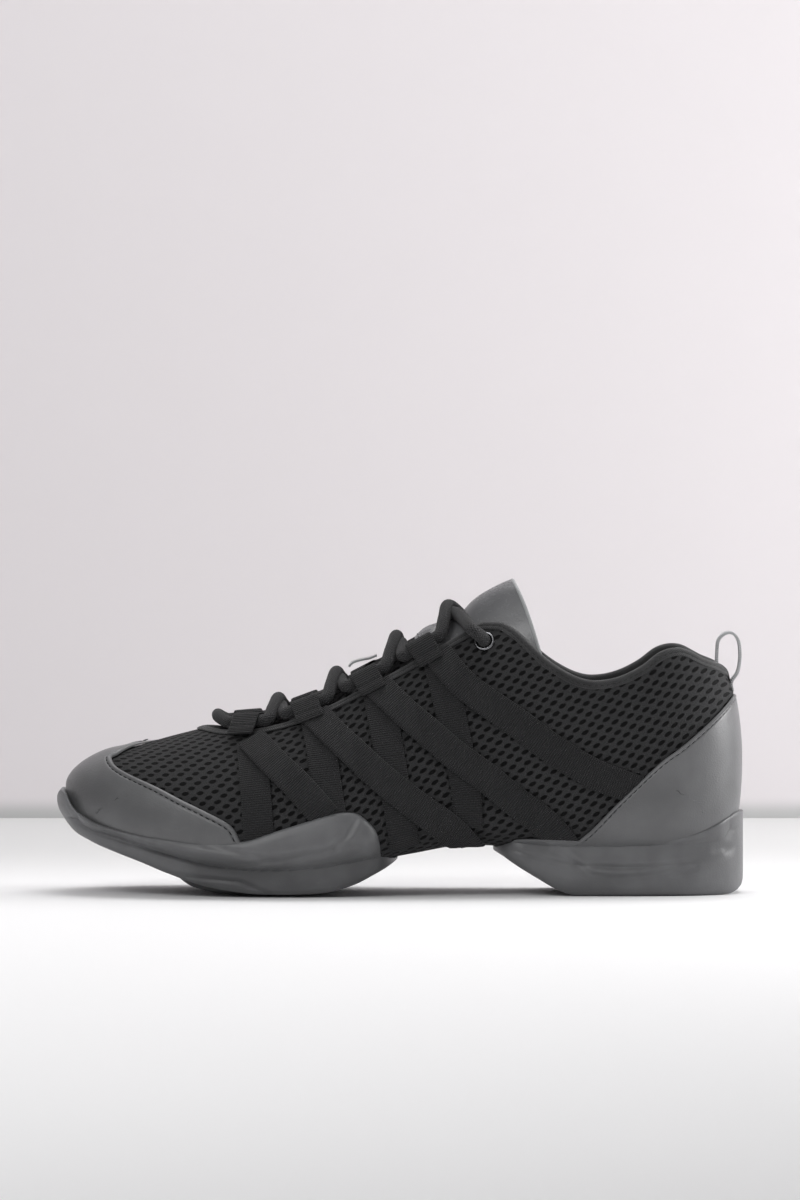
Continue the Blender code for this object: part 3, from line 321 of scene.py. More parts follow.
def sheet(name, points, uv):
    """A grid whose vertices are moved to points[row][column], with a UV map in metres."""
    rows, columns = points.shape[:2]
    bpy.ops.mesh.primitive_grid_add(x_subdivisions=columns - 1, y_subdivisions=rows - 1, size=1)
    piece = bpy.context.object
    piece.name = name
    corner = np.empty(len(piece.data.loops), dtype=np.int32)
    piece.data.loops.foreach_get("vertex_index", corner)
    piece.data.uv_layers[0].data.foreach_set("uv", uv.reshape(-1, 2)[corner].astype(np.float32).ravel())
    move_to(piece.data, points)
    piece.select_set(False)
    return piece


def half_sheet(name, points, uv, hand):
    """A sheet on one side of the shoe, its rows in the order that faces it outward."""
    order = slice(None) if hand < 0 else slice(None, None, -1)
    return sheet(f"{name}_{hand}", points[order], uv[order])


def edited(piece, edit):
    mesh = bmesh.new()
    mesh.from_mesh(piece.data)
    edit(mesh)
    mesh.to_mesh(piece.data)
    mesh.free()
    return piece


def merged(piece, distance=0.02 * MM):
    """Welds doubled vertices and drops faces without area."""
    def weld(mesh):
        bmesh.ops.remove_doubles(mesh, verts=mesh.verts, dist=distance)
        bmesh.ops.dissolve_degenerate(mesh, edges=mesh.edges, dist=distance / 4)

    return edited(piece, weld)


def apply_all(piece):
    bpy.ops.object.select_all(action="DESELECT")
    bpy.context.view_layer.objects.active = piece
    piece.select_set(True)
    for modifier in list(piece.modifiers):
        bpy.ops.object.modifier_apply(modifier=modifier.name)
    piece.select_set(False)


def joined(name, pieces):
    bpy.ops.object.select_all(action="DESELECT")
    for piece in pieces:
        piece.select_set(True)
    bpy.context.view_layer.objects.active = pieces[0]
    if len(pieces) > 1:
        bpy.ops.object.join()
    pieces[0].name = name
    pieces[0].select_set(False)
    return pieces[0]


def placed(piece, material, slot, *nodes, angle=40):
    """Finishes a piece: smooth shading, its material, its body, and hides the nodes it stands for. The slot
    is not used.
    """
    bpy.ops.object.select_all(action="DESELECT")
    bpy.context.view_layer.objects.active = piece
    piece.select_set(True)
    bpy.ops.object.shade_smooth_by_angle(angle=math.radians(angle))
    piece.select_set(False)
    if not piece.data.materials:
        piece.data.materials.append(material)
    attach(piece, "root")
    if nodes:
        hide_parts(*nodes)
    return piece


class Value:
    """A socket that takes part in sums: each operator adds the Math node that works it out."""

    def __init__(self, finish, socket):
        self.finish = finish
        self.socket = socket

    def maths(self, operation, *others):
        values = {i: value for i, value in enumerate((self, *others))}
        return self.finish.node("ShaderNodeMath", {"operation": operation}, values)

    def __add__(self, other):
        return self.maths("ADD", other)

    def __sub__(self, other):
        return self.maths("SUBTRACT", other)

    def __rsub__(self, other):
        return self.finish.node("ShaderNodeMath", {"operation": "SUBTRACT"}, {0: other, 1: self})

    def __mul__(self, other):
        return self.maths("MULTIPLY", other)

    __radd__ = __add__

    def wave(self, period=2 * math.pi):
        """The sine that comes round once every period."""
        scaled = self if period == 2 * math.pi else self * (2 * math.pi / period)
        return scaled.maths("SINE")

    def fraction(self):
        return self.maths("FRACT")

    def least(self, other):
        return self.maths("MINIMUM", other)

    def step(self, start, end):
        """0 below start and 1 above end, with a smooth ramp between."""
        return self.finish.node(
            "ShaderNodeMapRange",
            {"interpolation_type": "SMOOTHSTEP"},
            {"Value": self, "From Min": start, "From Max": end},
        )


class Finish:
    """A material in the making."""

    def __init__(self, name, **sockets):
        self.material = bpy.data.materials.new(name)
        self.material.use_nodes = True
        self.tree = self.material.node_tree
        self.shader = self.tree.nodes["Principled BSDF"]
        for socket, value in sockets.items():
            self.set(socket.replace("_", " "), value)

    def set(self, socket, value):
        """Puts a value or a link on one of the shader's own sockets."""
        names = {entry.name.lower(): entry for entry in self.shader.inputs}
        self.put(names[socket.lower()], value)

    def put(self, socket, value):
        if isinstance(value, Value):
            self.tree.links.new(value.socket, socket)
        elif isinstance(value, tuple) and socket.type == "RGBA":
            socket.default_value = (*value, 1)
        else:
            socket.default_value = value

    def node(self, kind, settings=None, values=None, output=0):
        """Adds a node, sets it, fills its sockets and gives one of its outputs."""
        node = self.tree.nodes.new(kind)
        for key, setting in (settings or {}).items():
            setattr(node, key, setting)
        for key, value in (values or {}).items():
            self.put(node.inputs[key], value)
        return Value(self, node.outputs[output])

    def place(self, scale=1.0, uv=True):
        """The piece's own map, or its place in the object, times a scale."""
        source = "UV" if uv else "Object"
        coordinate = self.node("ShaderNodeTexCoord", output=source)
        return self.node("ShaderNodeVectorMath", {"operation": "SCALE"}, {0: coordinate, "Scale": scale})

    def parts(self, vector):
        return [self.node("ShaderNodeSeparateXYZ", None, {0: vector}, output=i) for i in range(3)]

    def noise(self, vector, scale, detail=3.0, roughness=0.55):
        values = {"Vector": vector, "Scale": scale, "Detail": detail, "Roughness": roughness}
        return self.node("ShaderNodeTexNoise", None, values)

    def blend(self, share, first, second):
        """A colour between two others."""
        settings = {"data_type": "RGBA"}
        return self.node("ShaderNodeMix", settings, {0: share, 6: first, 7: second}, output=2)

    def relief(self, height, depth):
        """A bump of that depth in metres on the shader's normal."""
        self.set("Normal", self.node("ShaderNodeBump", None, {"Height": height, "Distance": depth}))


def shades(colour, *shares):
    """The colour times each share."""
    return [tuple(share * part for part in colour) for share in shares]


KNIT_YARN = (0.036, 0.036, 0.0372)
# The holes' colour is the black lining seen through them, made darker still by painted shade inside the
# holes.
KNIT_HOLE_LINING_AND_SHADE = (0.0016, 0.0016, 0.0017)
KNIT_COLUMN = 5.9 * MM
KNIT_ROW = 4.25 * MM
HOLE_LONG = 1.42 * MM
HOLE_SHORT = 0.80 * MM
KNIT_SLANT = math.radians(13)


def knit_finish(name):
    finish = Finish(name, roughness=0.85, sheen_weight=0.03, sheen_roughness=0.5, specular_ior_level=0.2)
    u, v, _ = finish.parts(finish.place())
    wander = finish.noise(finish.place(), 90.0, 2.0) * (0.5 * MM)
    column = u * math.cos(KNIT_SLANT) + v * math.sin(KNIT_SLANT) + wander
    row = v * math.cos(KNIT_SLANT) - u * math.sin(KNIT_SLANT) + wander
    nearest = None
    for shift in (0.0, 0.5):
        across = ((column * (1 / KNIT_COLUMN) + shift).fraction() - 0.5) * (KNIT_COLUMN / HOLE_LONG)
        up = ((row * (1 / KNIT_ROW) + shift).fraction() - 0.5) * (KNIT_ROW / HOLE_SHORT)
        slanted = across * across + (up - across * 0.25) * (up - across * 0.25)
        nearest = slanted if nearest is None else nearest.least(slanted)
    yarn = nearest.step(0.55, 1.5)
    loops = row.wave(0.47 * MM) * column.wave(0.59 * MM)
    fuzz = finish.noise(finish.place(), 2600.0, 2.0)
    tone = finish.blend(fuzz.step(0.3, 0.75), *shades(KNIT_YARN, 0.62, 1.3))
    # The holes are painted near black: the lining behind them plus painted shade.
    finish.set("Base Color", finish.blend(yarn, KNIT_HOLE_LINING_AND_SHADE, tone))
    finish.set("Roughness", 0.95 - yarn * 0.15)
    finish.relief(yarn + loops * 0.10 + fuzz * 0.12, 0.7 * MM)
    return finish.material


def cloth_finish(name, colour, pitch, gloss=0.9):
    """Plain close cloth: two sets of fine threads, on the piece's own map."""
    finish = Finish(name, sheen_weight=0.2, specular_ior_level=0.3)
    u, v, _ = finish.parts(finish.place())
    threads = u.wave(pitch) * v.wave(pitch)
    cloud = finish.noise(finish.place(), 60.0)
    finish.set("Base Color", finish.blend(cloud.step(0.3, 0.7), *shades(colour, 0.75, 1.25)))
    finish.set("Roughness", gloss - cloud * 0.1)
    finish.relief(threads * 0.5 + cloud * 0.4, 0.25 * MM)
    return finish.material


knit = knit_finish("knit")
lining = cloth_finish("lining", (0.020, 0.020, 0.021), 0.9 * MM)


def collar_wall(x, z):
    """The wall: thick where the collar is padded, thin in the vamp, the sides and the bottom."""
    start = EDGE[4][0]
    depth = edge_at(x / LENGTH)[0] * INSTEP_HEIGHT - z
    padded = smooth(1 - depth / COLLAR_PAD_DEPTH) * smooth((x / LENGTH - start) / 0.12)
    rim = smooth(depth / (1.1 * COLLAR_WALL))
    return WALL + (COLLAR_WALL - WALL) * padded * rim * (x / LENGTH > start)


def spaced(start, end, count, pull=0.0):
    """count + 1 places from start to end, closer together at both ends as pull nears 1."""
    even = np.linspace(0, 1, count + 1)
    round_off = (1 - np.cos(np.pi * even)) / 2
    return start + (end - start) * (even + (round_off - even) * pull)


def edge_turn(x):
    """How far up each section goes: to the opening's edge, which is rounded off at both its ends."""
    x = np.asarray(x, dtype=float)
    side = 90 - turn_at(x, edge_at(x / LENGTH)[0] * INSTEP_HEIGHT)
    ends = rounding(x - THROAT_FRONT, 9 * MM) * rounding(COLLAR_BACK - x, 3 * MM)
    return np.where((x > THROAT_FRONT) & (x < COLLAR_BACK), 90 - side * ends, 90.0)


def skin_stations():
    toe = spaced(FORM_START, THROAT_FRONT, 44, 1.0)
    middle = spaced(THROAT_FRONT, COLLAR_BACK, 150, 1.0)
    heel = FORM_END - (FORM_END - COLLAR_BACK) * np.linspace(1, 0, 17) ** 2
    return np.concatenate((toe, middle[1:], heel[1:]))


def arc_up(points, zero_row):
    """Distance along each column of points, measured from one row."""
    run = np.linalg.norm(np.diff(points, axis=0), axis=-1)
    total = np.concatenate((np.zeros((1, points.shape[1])), np.cumsum(run, axis=0)))
    return total - total[zero_row]


# The front edge of the heel counter, under which the padding lies flat: at, height
COUNTER_EDGE = (
    (0.7581, 0.1820), (0.7790, 0.2210), (0.8170, 0.3058), (0.8747, 0.4267), (0.9034, 0.4742),
    (0.9325, 0.5283), (0.9620, 0.5880), (0.9765, 0.6220), (0.9830, 0.6367),
)


def into_counter(x, z):
    """How far a place lies behind the counter's front edge."""
    border = np.array(COUNTER_EDGE) * (LENGTH, INSTEP_HEIGHT)
    return np.where(z < border[-1, 1], x - np.interp(z, border[:, 1], border[:, 0]), -0.1)


# at, turn, half-length, half-width in mm, depth in mm: soft troughs where the foot bends the fabric
CREASES = (
    (0.345, 62, 11, 2.4, -0.45),
    (0.395, 52, 13, 2.8, -0.5),
    (0.440, 40, 12, 2.6, -0.4),
    (0.600, 8, 14, 3.0, -0.4),
    (0.655, 30, 15, 3.2, -0.45),
    (0.720, 18, 12, 3.0, 0.35),
)


def fabric_wave(x, turn, z):
    """How far the knit stands off the last: padding puffed under the collar, and creases."""
    edge = edge_at(x / LENGTH)[0] * INSTEP_HEIGHT
    below = np.maximum(edge - z, 0)
    below_bulge = smooth((34 * MM - below) / (22 * MM))
    pad = smooth((x / LENGTH - 0.60) / 0.10) * smooth(below / (5 * MM)) * below_bulge
    wave = 0.9 * MM * pad * smooth(-into_counter(x, z) / (5 * MM))
    for at, angle, long_side, short_side, depth in CREASES:
        run = (x - at * LENGTH) / (long_side * MM)
        rise = ((turn - angle) * 0.55 * MM + 0.35 * (x - at * LENGTH)) / (short_side * MM)
        wave = wave + depth * MM * np.exp(-(run**2) - rise**2)
    return wave


ROWS_BELOW = 16
ROWS_ABOVE = 30
stations = skin_stations()
turns = np.concatenate((
    np.linspace(-90, 0, ROWS_BELOW + 1)[:-1, None] + 0 * stations,
    np.linspace(0, 1, ROWS_ABOVE + 1)[:, None] * edge_turn(stations),
))
halves = []
for hand in (-1, 1):
    x = np.broadcast_to(stations, turns.shape)
    points = on_last(x, turns, hand)
    halves.append(half_sheet("upper", points, np.stack((x, arc_up(points, ROWS_BELOW)), axis=-1), hand))
upper = merged(joined("upper_knit", halves))


def offsets(piece, amount):
    """Moves each vertex of a piece out along its normal by amount(x, turn, z) in the model's frame."""
    places = values_of(piece.data.vertices, "co").astype(float)
    normals = values_of(piece.data.vertex_normals, "vector").astype(float)
    x = places[:, 0] - PLACE[0]
    z = places[:, 2]
    move_to(piece.data, places + normals * amount(x, turn_at(x, z), z)[:, None])


def faces_outward(piece):
    """Makes the faces agree, and turns a skin inside out if they point at its middle."""
    def turn(mesh):
        middle = sum((v.co for v in mesh.verts), start=Vector()) / len(mesh.verts)
        bmesh.ops.recalc_face_normals(mesh, faces=mesh.faces)
        if sum(f.normal.dot(f.calc_center_median() - middle) * f.calc_area() for f in mesh.faces) < 0:
            bmesh.ops.reverse_faces(mesh, faces=mesh.faces)

    return edited(piece, turn)


offsets(faces_outward(upper), fabric_wave)
group = upper.vertex_groups.new(name="padding")
for vertex in upper.data.vertices:
    wall = float(collar_wall(np.array(vertex.co.x - PLACE[0]), np.array(vertex.co.z)))
    group.add([vertex.index], (wall - WALL) / (COLLAR_WALL - WALL), "REPLACE")
solid = upper.modifiers.new("wall", "SOLIDIFY")
solid.thickness = COLLAR_WALL
solid.vertex_group = "padding"
solid.thickness_vertex_group = WALL / COLLAR_WALL
solid.offset = -1
solid.material_offset = 1
upper.data.materials.append(knit)
upper.data.materials.append(lining)
apply_all(upper)
placed(upper, knit, "knit", "upper")
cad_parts["insole"].data.materials.clear()
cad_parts["insole"].data.materials.append(lining)


# Toe cap: a shell of satin synthetic leather over the toes, its cut edge folded under and sewn down
# with one row of dark stitches about 2 mm inside the fold. It ends above the rim of the forefoot sole.
COVER = 1.2 * MM
CLEARANCE = 0.35 * MM
FOREFOOT_SOLE = (
    # at, rim, ground, groove
    (0.0000, 0.3080, 0.2940, 0.0),
    (0.0030, 0.3230, 0.2740, 0.0),
    (0.0080, 0.3310, 0.2540, 0.0),
    (0.0140, 0.3230, 0.2340, 0.0),
    (0.0240, 0.2850, 0.2080, 0.0),
    (0.0490, 0.2440, 0.1740, 0.0),
    (0.0890, 0.2140, 0.1370, 0.3),
    (0.1250, 0.1980, 0.1080, 0.6),
    (0.1660, 0.1870, 0.0720, 0.8),
    (0.2215, 0.1770, 0.0330, 1.0),
    (0.2700, 0.1820, 0.0150, 1.0),
    (0.3150, 0.2110, 0.0090, 1.0),
    (0.3560, 0.2390, 0.0100, 1.0),
    (0.3990, 0.2670, 0.0180, 0.8),
    (0.4200, 0.2750, 0.0290, 0.5),
    (0.4400, 0.2690, 0.0450, 0.3),
    (0.4600, 0.2330, 0.0680, 0.0),
    (0.4800, 0.1820, 0.0910, 0.0),
    (0.4970, 0.1310, 0.1130, 0.0),
)
HEEL_SOLE = (
    (0.6360, 0.1560, 0.1400, 0.0),
    (0.6460, 0.1710, 0.1300, 0.0),
    (0.6670, 0.1830, 0.1000, 0.2),
    (0.6980, 0.1850, 0.0580, 0.5),
    (0.7290, 0.1840, 0.0190, 0.8),
    (0.7500, 0.1820, 0.0030, 1.0),
    (0.7710, 0.1780, 0.0000, 1.0),
    (0.8200, 0.1725, 0.0000, 1.0),
    (0.8550, 0.1725, 0.0000, 1.0),
    (0.8900, 0.1830, 0.0000, 1.0),
    (0.9250, 0.2010, 0.0000, 0.8),
    (0.9530, 0.2250, 0.0000, 0.5),
    (0.9750, 0.2510, 0.0020, 0.3),
    (0.9850, 0.2620, 0.0080, 0.1),
    (0.9930, 0.2640, 0.0200, 0.0),
    (0.9980, 0.2640, 0.0370, 0.0),
    (1.0000, 0.2640, 0.0560, 0.0),
)
CAP_EDGE = (
    (0.2715, 0.1830), (0.2574, 0.2325), (0.2215, 0.2750), (0.1853, 0.3117), (0.1494, 0.3492),
    (0.0966, 0.3967), (0.0826, 0.4283),
)
forefoot_at = smooth_table(FOREFOOT_SOLE)
heel_at = smooth_table(HEEL_SOLE)


def reach_along(points):
    """The distance along a line of points, from 0 at its first."""
    return np.concatenate(([0], np.cumsum(np.linalg.norm(np.diff(points, axis=0), axis=1))))


def at_reach(run, table, want):
    """The rows of a table at wanted distances along its line."""
    return np.stack([np.interp(want, run, column) for column in table.T], axis=-1)


def evenly(points, count):
    """count + 1 points evenly spaced along a line of points."""
    run = reach_along(points)
    return at_reach(run, points, np.linspace(0, run[-1], count + 1))


def even_on_last(line, count):
    """count + 1 rows of (x, turn), evenly spaced in space along a dense line of them on the last."""
    run = reach_along(on_last(line[:, 0], line[:, 1], -1))
    return at_reach(run, line, np.linspace(0, run[-1], count + 1))


def smooth_line(points, steps):
    """A dense smooth curve through all the points but the first and last, steps to a span."""
    line = []
    for a, b, c, d in zip(points, points[1:], points[2:], points[3:]):
        for t in np.linspace(0, 1, steps, endpoint=False):
            bend = (2 * a - 5 * b + 4 * c - d) * t**2 + (3 * b - a - 3 * c + d) * t**3
            line.append(0.5 * (2 * b + (c - a) * t + bend))
    return np.array(line + [points[-2]])


def border_line(points, count):
    """A cover's free border, from its points seen from the side, as rows of (x, turn)."""
    given = np.array(points) * (LENGTH, INSTEP_HEIGHT)
    ends = (2 * given[0] - given[1], given, 2 * given[-1] - given[-2])
    curve = evenly(smooth_line(np.vstack(ends), 24), 3000)
    turn = turn_at(curve[:, 0], curve[:, 1])
    turn[-1] = 90
    return even_on_last(np.stack((curve[:, 0], turn), axis=-1), count)


def nearest_distance(points, line):
    """How far each of many points lies from the nearest point of a line."""
    shape = points.shape[:-1]
    flat = points.reshape(-1, 3)
    best = np.full(len(flat), 1.0)
    for start in range(0, len(line), 64):
        part = line[start : start + 64]
        best = np.minimum(best, np.linalg.norm(flat[:, None] - part[None], axis=2).min(axis=1))
    return best.reshape(shape)


def walled(piece, thickness, offset=-1.0, bevel=0.0, segments=2, angle=55):
    """Gives a sheet its thickness, then rounds its edges."""
    solid = piece.modifiers.new("wall", "SOLIDIFY")
    solid.thickness = thickness
    solid.offset = offset
    solid.material_offset = max(len(piece.data.materials) - 1, 0)
    if bevel:
        round_off = piece.modifiers.new("rounding", "BEVEL")
        round_off.width = bevel
        round_off.segments = segments
        round_off.angle_limit = math.radians(angle)
    apply_all(piece)
    return piece


# Rows of a cover, by their distance from its border: close where it folds and is sewn
EDGE_STEPS = np.array((0, .1, .25, .4, .6, .8, 1, 1.2, 1.4, 1.6, 1.8, 2, 2.2, 2.4, 2.7, 3.2, 4, 5.5)) * MM
INNER_ROWS = 26
PATH_STEPS = 500
EDGE_BEAD = 0.25 * MM
STITCH_DIP = 0.40 * MM
COVER_WALL = 0.6 * MM


def sewn_line(x, turn, distance, dense, seam, hand):
    """Where the stitches run: at one distance from the border, without the places where that jumps."""
    near = slice(len(EDGE_STEPS) + 1)
    at = np.array([
        [np.interp(seam, distance[near, j], grid[near, j]) for grid in (x, turn)]
        for j in range(x.shape[1])
    ])
    sewn = on_last(at[:, 0], at[:, 1], hand)
    at = at[abs(nearest_distance(sewn, dense) - seam) < 0.15 * MM]
    gaps = np.diff(reach_along(on_last(at[:, 0], at[:, 1], hand)))
    at = max(np.split(at, np.flatnonzero(gaps > 4 * MM) + 1), key=len)
    return at[:, 0], at[:, 1], hand


def cover(name, border, outer, fold, seam):
    """A shell between its border and its outer line, on both hands, and the lines of its stitches."""
    halves, seams = [], []
    share = np.linspace(0, 1, PATH_STEPS)[:, None]
    path_x = border[:, 0] + (outer[:, 0] - border[:, 0]) * (1 - (1 - share) ** 2)
    path_turn = border[:, 1] + (outer[:, 1] - border[:, 1]) * share
    for hand in (-1, 1):
        run = arc_up(on_last(path_x, path_turn, hand), 0)
        near = np.minimum(EDGE_STEPS[:, None], run[-1])
        inner = near[-1] + (run[-1] - near[-1]) * np.linspace(0, 1, INNER_ROWS + 1)[1:, None]
        along = np.concatenate((near, inner))
        x, turn = (
            np.array([np.interp(*columns) for columns in zip(along.T, run.T, path.T)]).T
            for path in (path_x, path_turn)
        )
        points = on_last(x, turn, hand)
        edge = on_last(border[:, 0], border[:, 1], hand)
        steps = [edge[:-1] + (edge[1:] - edge[:-1]) * k / 4 for k in range(4)]
        dense = np.concatenate(steps + [edge[-1:]])
        distance = nearest_distance(points, dense)
        seams.append(sewn_line(x, turn, distance, dense, seam, hand))
        piece = half_sheet(name, points, np.stack((x, along), axis=-1), hand)
        layer = piece.data.attributes.new("from_edge", "FLOAT", "POINT")
        layer.data.foreach_set("value", distance[::-hand].astype(np.float32).ravel())
        halves.append(piece)
    piece = faces_outward(merged(joined(name, halves)))
    mesh = piece.data
    places = values_of(mesh.vertices, "co")
    normals = values_of(mesh.vertex_normals, "vector")
    distance = values_of(mesh.attributes["from_edge"].data, "value", 1)[:, 0]
    rolled = np.sqrt(1 - (1 - np.minimum(distance / fold, 1.0)) ** 2)
    out = CLEARANCE + COVER * (0.25 + 0.75 * rolled)
    out += EDGE_BEAD * np.exp(-(((distance - 1.0 * MM) / (0.5 * MM)) ** 2))
    out -= STITCH_DIP * np.exp(-(((distance - seam) / (0.32 * MM)) ** 2))
    x, z = places[:, 0] - PLACE[0], places[:, 2]
    top = smooth((turn_at(x, z) - 70) / 10)
    out *= 1 - 0.85 * top * smooth((x - border[-1, 0] + 9 * MM) / (9 * MM)) * (border[-1, 0] < LENGTH / 2)
    move_to(mesh, places + normals * out[:, None])
    return walled(piece, COVER_WALL), seams


def stitch_rows(name, lines, pitch, length, thick):
    """A short rounded stitch every pitch along each line. A line is its points and their normals."""
    bpy.ops.mesh.primitive_uv_sphere_add(segments=6, ring_count=5, radius=0.5)
    piece = bpy.context.object
    piece.name = name
    piece.select_set(False)
    shape = values_of(piece.data.vertices, "co") * (thick, thick, length)
    faces = [list(polygon.vertices) for polygon in piece.data.polygons]
    places, all_faces = [], []
    for points, normals in lines:
        run = reach_along(points)
        for want in np.arange(pitch / 2, run[-1], pitch):
            middle = at_reach(run, points, want)
            normal = at_reach(run, normals, want)
            before, after = (at_reach(run, points, want + step * pitch) for step in (-0.3, 0.3))
            along = unit(after - before)
            normal = unit(normal - along * normal.dot(along))
            turned = shape[:, :1] * normal + shape[:, 1:2] * np.cross(along, normal) + shape[:, 2:] * along
            all_faces += [[i + len(shape) * len(places) for i in face] for face in faces]
            places.append(middle + turned)
    mesh = bpy.data.meshes.new(name)
    mesh.from_pydata(np.concatenate(places).tolist(), [], all_faces)
    piece.data = mesh
    return piece


def seam_lines(seams):
    lines = []
    for x, turn, hand in seams:
        normal = normal_at(x, turn, hand)
        lines.append((on_last(x, turn, hand) + normal * (CLEARANCE + COVER - 0.25 * MM), normal))
    return lines


def round_pole(low_line, top_line, pole, below, turning, above):
    """A cover's outer line: the sole's rim, then all turns at the last's end, then the middle of the top."""
    fan = np.stack((np.full(turning, pole), np.linspace(-90, 90, turning + 1)[1:]), axis=-1)
    return np.concatenate((even_on_last(low_line, below), fan, even_on_last(top_line, above)[1:]))


TUCK = 0.8 * MM
DENSE = 1500


def rim_turn(x, table):
    """The turn of a cover's lower line, tucked a little below the sole's rim."""
    return turn_at(x, table(x / LENGTH)[0] * INSTEP_HEIGHT - TUCK)


def crown_line(pole, end):
    """The middle of the top, from the last's end to a cover's border, dense near the end."""
    x = pole + (end - pole) * np.linspace(0, 1, DENSE) ** 2
    return np.stack((x, np.full(DENSE, 90.0)), axis=-1)


def leather_finish(name, colour, roughness, grain=0.05 * MM):
    """Satin synthetic: a fine pebble, faint clouds in the colour, and softer gloss where it is worn."""
    finish = Finish(name, specular_ior_level=0.5, coat_roughness=0.35)
    where = finish.place(uv=False)
    pebble = finish.node(
        "ShaderNodeTexVoronoi", {"feature": "F1"}, {"Vector": where, "Scale": 1500.0, "Randomness": 1.0}
    )
    cloud = finish.noise(where, 34.0, 3.0)
    fine = finish.noise(where, 420.0, 3.0)
    finish.set("Base Color", finish.blend(cloud.step(0.3, 0.7), *shades(colour, 0.84, 1.16)))
    finish.set("Roughness", roughness + (cloud - 0.5) * 0.16 + (fine - 0.5) * 0.10)
    finish.relief(pebble + fine * 0.6, grain)
    return finish.material


THREAD = cloth_finish("thread", (0.006, 0.006, 0.0065), 0.5 * MM, 0.8)
leather = leather_finish("synthetic_leather", (0.110, 0.111, 0.114), 0.38)
# The cap's edge comes up the side, turns at the front of the toes and runs back to a peak on the top
CAP_PEAK = ((24.0, 14.5), (28.0, 8.6), (32.5, 4.4), (36.5, 1.6), (39.0, 0.0))  # x, off the middle, in mm
low_points = np.array(CAP_EDGE) * (LENGTH, INSTEP_HEIGHT)
cap_points = [on_last(x, turn_at(x, z), -1) for x, z in low_points]
for x, off in CAP_PEAK:
    _, _, _, half, _, arch = section(x * MM)
    cap_points.append(on_last(x * MM, math.degrees(math.acos((off * MM / half) ** (arch / 2))), -1))
past_peak = cap_points[-1] + np.array((2 * MM, 1.5 * MM, 0))
cap_curve = smooth_line([cap_points[0] * 2 - cap_points[1]] + cap_points + [past_peak], 120)
curve_x = cap_curve[:, 0] - PLACE[0]
_, _, _, half, side, arch = section(curve_x)
off = np.clip(abs(cap_curve[:, 1] - PLACE[1] - side) / half, 0, 1)
by_height = turn_at(curve_x, cap_curve[:, 2])
by_side = np.degrees(np.arccos(off ** (arch / 2)))
share = smooth((by_height - 35) / 20)
cap_border = even_on_last(np.stack((curve_x, by_height * (1 - share) + by_side * share), axis=-1), 150)
cap_border[-1, 1] = 90
rim_x = FORM_START + (cap_border[0, 0] - FORM_START) * np.linspace(1, 0, DENSE) ** 2
low_line = np.stack((rim_x, rim_turn(rim_x, forefoot_at)), axis=-1)
cap_outer = round_pole(low_line, crown_line(FORM_START, cap_border[-1, 0]), FORM_START, 88, 30, 32)
cap, cap_seams = cover("toe_cap_shell", cap_border, cap_outer, 0.9 * MM, 1.95 * MM)
placed(cap, leather, "synthetic_leather", "toe_cap")
cap_stitches = stitch_rows("toe_cap_stitches", seam_lines(cap_seams), 2.7 * MM, 1.9 * MM, 0.5 * MM)
placed(cap_stitches, THREAD, "synthetic_leather")


# Heel counter: the same satin synthetic wrapped round the heel, from the sole's rim to a rolled edge
# that sweeps up to the back of the collar, with its stitches close inside the edge.
counter_border = border_line(COUNTER_EDGE, 150)
rim_x = np.linspace(counter_border[0, 0], 261.7 * MM, DENSE)
low_line = np.stack((rim_x, rim_turn(rim_x, heel_at)), axis=-1)
low_line[-1, 1] = -90
back_x = FORM_END - (FORM_END - rim_x[-1]) * np.linspace(1, 0, 200) ** 2
low_line = np.concatenate((low_line, np.stack((back_x, np.full(200, -90.0)), axis=-1)))
counter_outer = round_pole(low_line, crown_line(FORM_END, counter_border[-1, 0]), FORM_END, 96, 30, 24)
counter, counter_seams = cover("heel_counter_shell", counter_border, counter_outer, 0.8 * MM, 1.4 * MM)
placed(counter, leather, "synthetic_leather", "heel_counter")
sewn = seam_lines(counter_seams)
counter_stitches = stitch_rows("heel_counter_stitches", sewn, 2.7 * MM, 1.9 * MM, 0.45 * MM)
placed(counter_stitches, THREAD, "synthetic_leather")


# Binding: a soft strip folded over the cut edge of the knit, all round the throat and the collar,
# and sewn through with one row of fine stitches.
def opening_ring(pitch):
    """The opening's edge as a closed ring: points, normals, and the way on past the edge."""
    x = spaced(THROAT_FRONT, COLLAR_BACK, 4000, 1.0)
    line = np.stack((x, edge_turn(x)), axis=-1)
    length = reach_along(on_last(line[:, 0], line[:, 1], -1))[-1]
    even = even_on_last(line, int(length / pitch))
    ring, normals = [], []
    for hand, part in ((-1, even[:-1]), (1, even[::-1][:-1])):
        ring.append(on_last(part[:, 0], part[:, 1], hand))
        normals.append(normal_at(part[:, 0], part[:, 1], hand))
    ring, normals = np.concatenate(ring), np.concatenate(normals)
    along = unit(np.roll(ring, -1, axis=0) - np.roll(ring, 1, axis=0))
    past = unit(np.cross(normals, along))
    if (past * (ring.mean(axis=0) + (0, 0, 0.03) - ring)).sum() < 0:
        past = -past
    return ring, normals, past


def ring_band(name, ring, normals, past, profile):
    """A strip round a closed ring. profile holds (out, past) pairs in millimetres."""
    points = np.array([ring + normals * (out * MM) + past * (on * MM) for out, on in profile])
    points = np.concatenate((points, points[:, :1]), axis=1)
    along = np.broadcast_to(reach_along(points[0]), points.shape[:2])
    return merged(sheet(name, points, np.stack((along, arc_up(points, 0)), axis=-1)))


def agreed(piece):
    """Makes the faces of a sheet agree."""
    return edited(piece, lambda mesh: bmesh.ops.recalc_face_normals(mesh, faces=mesh.faces))


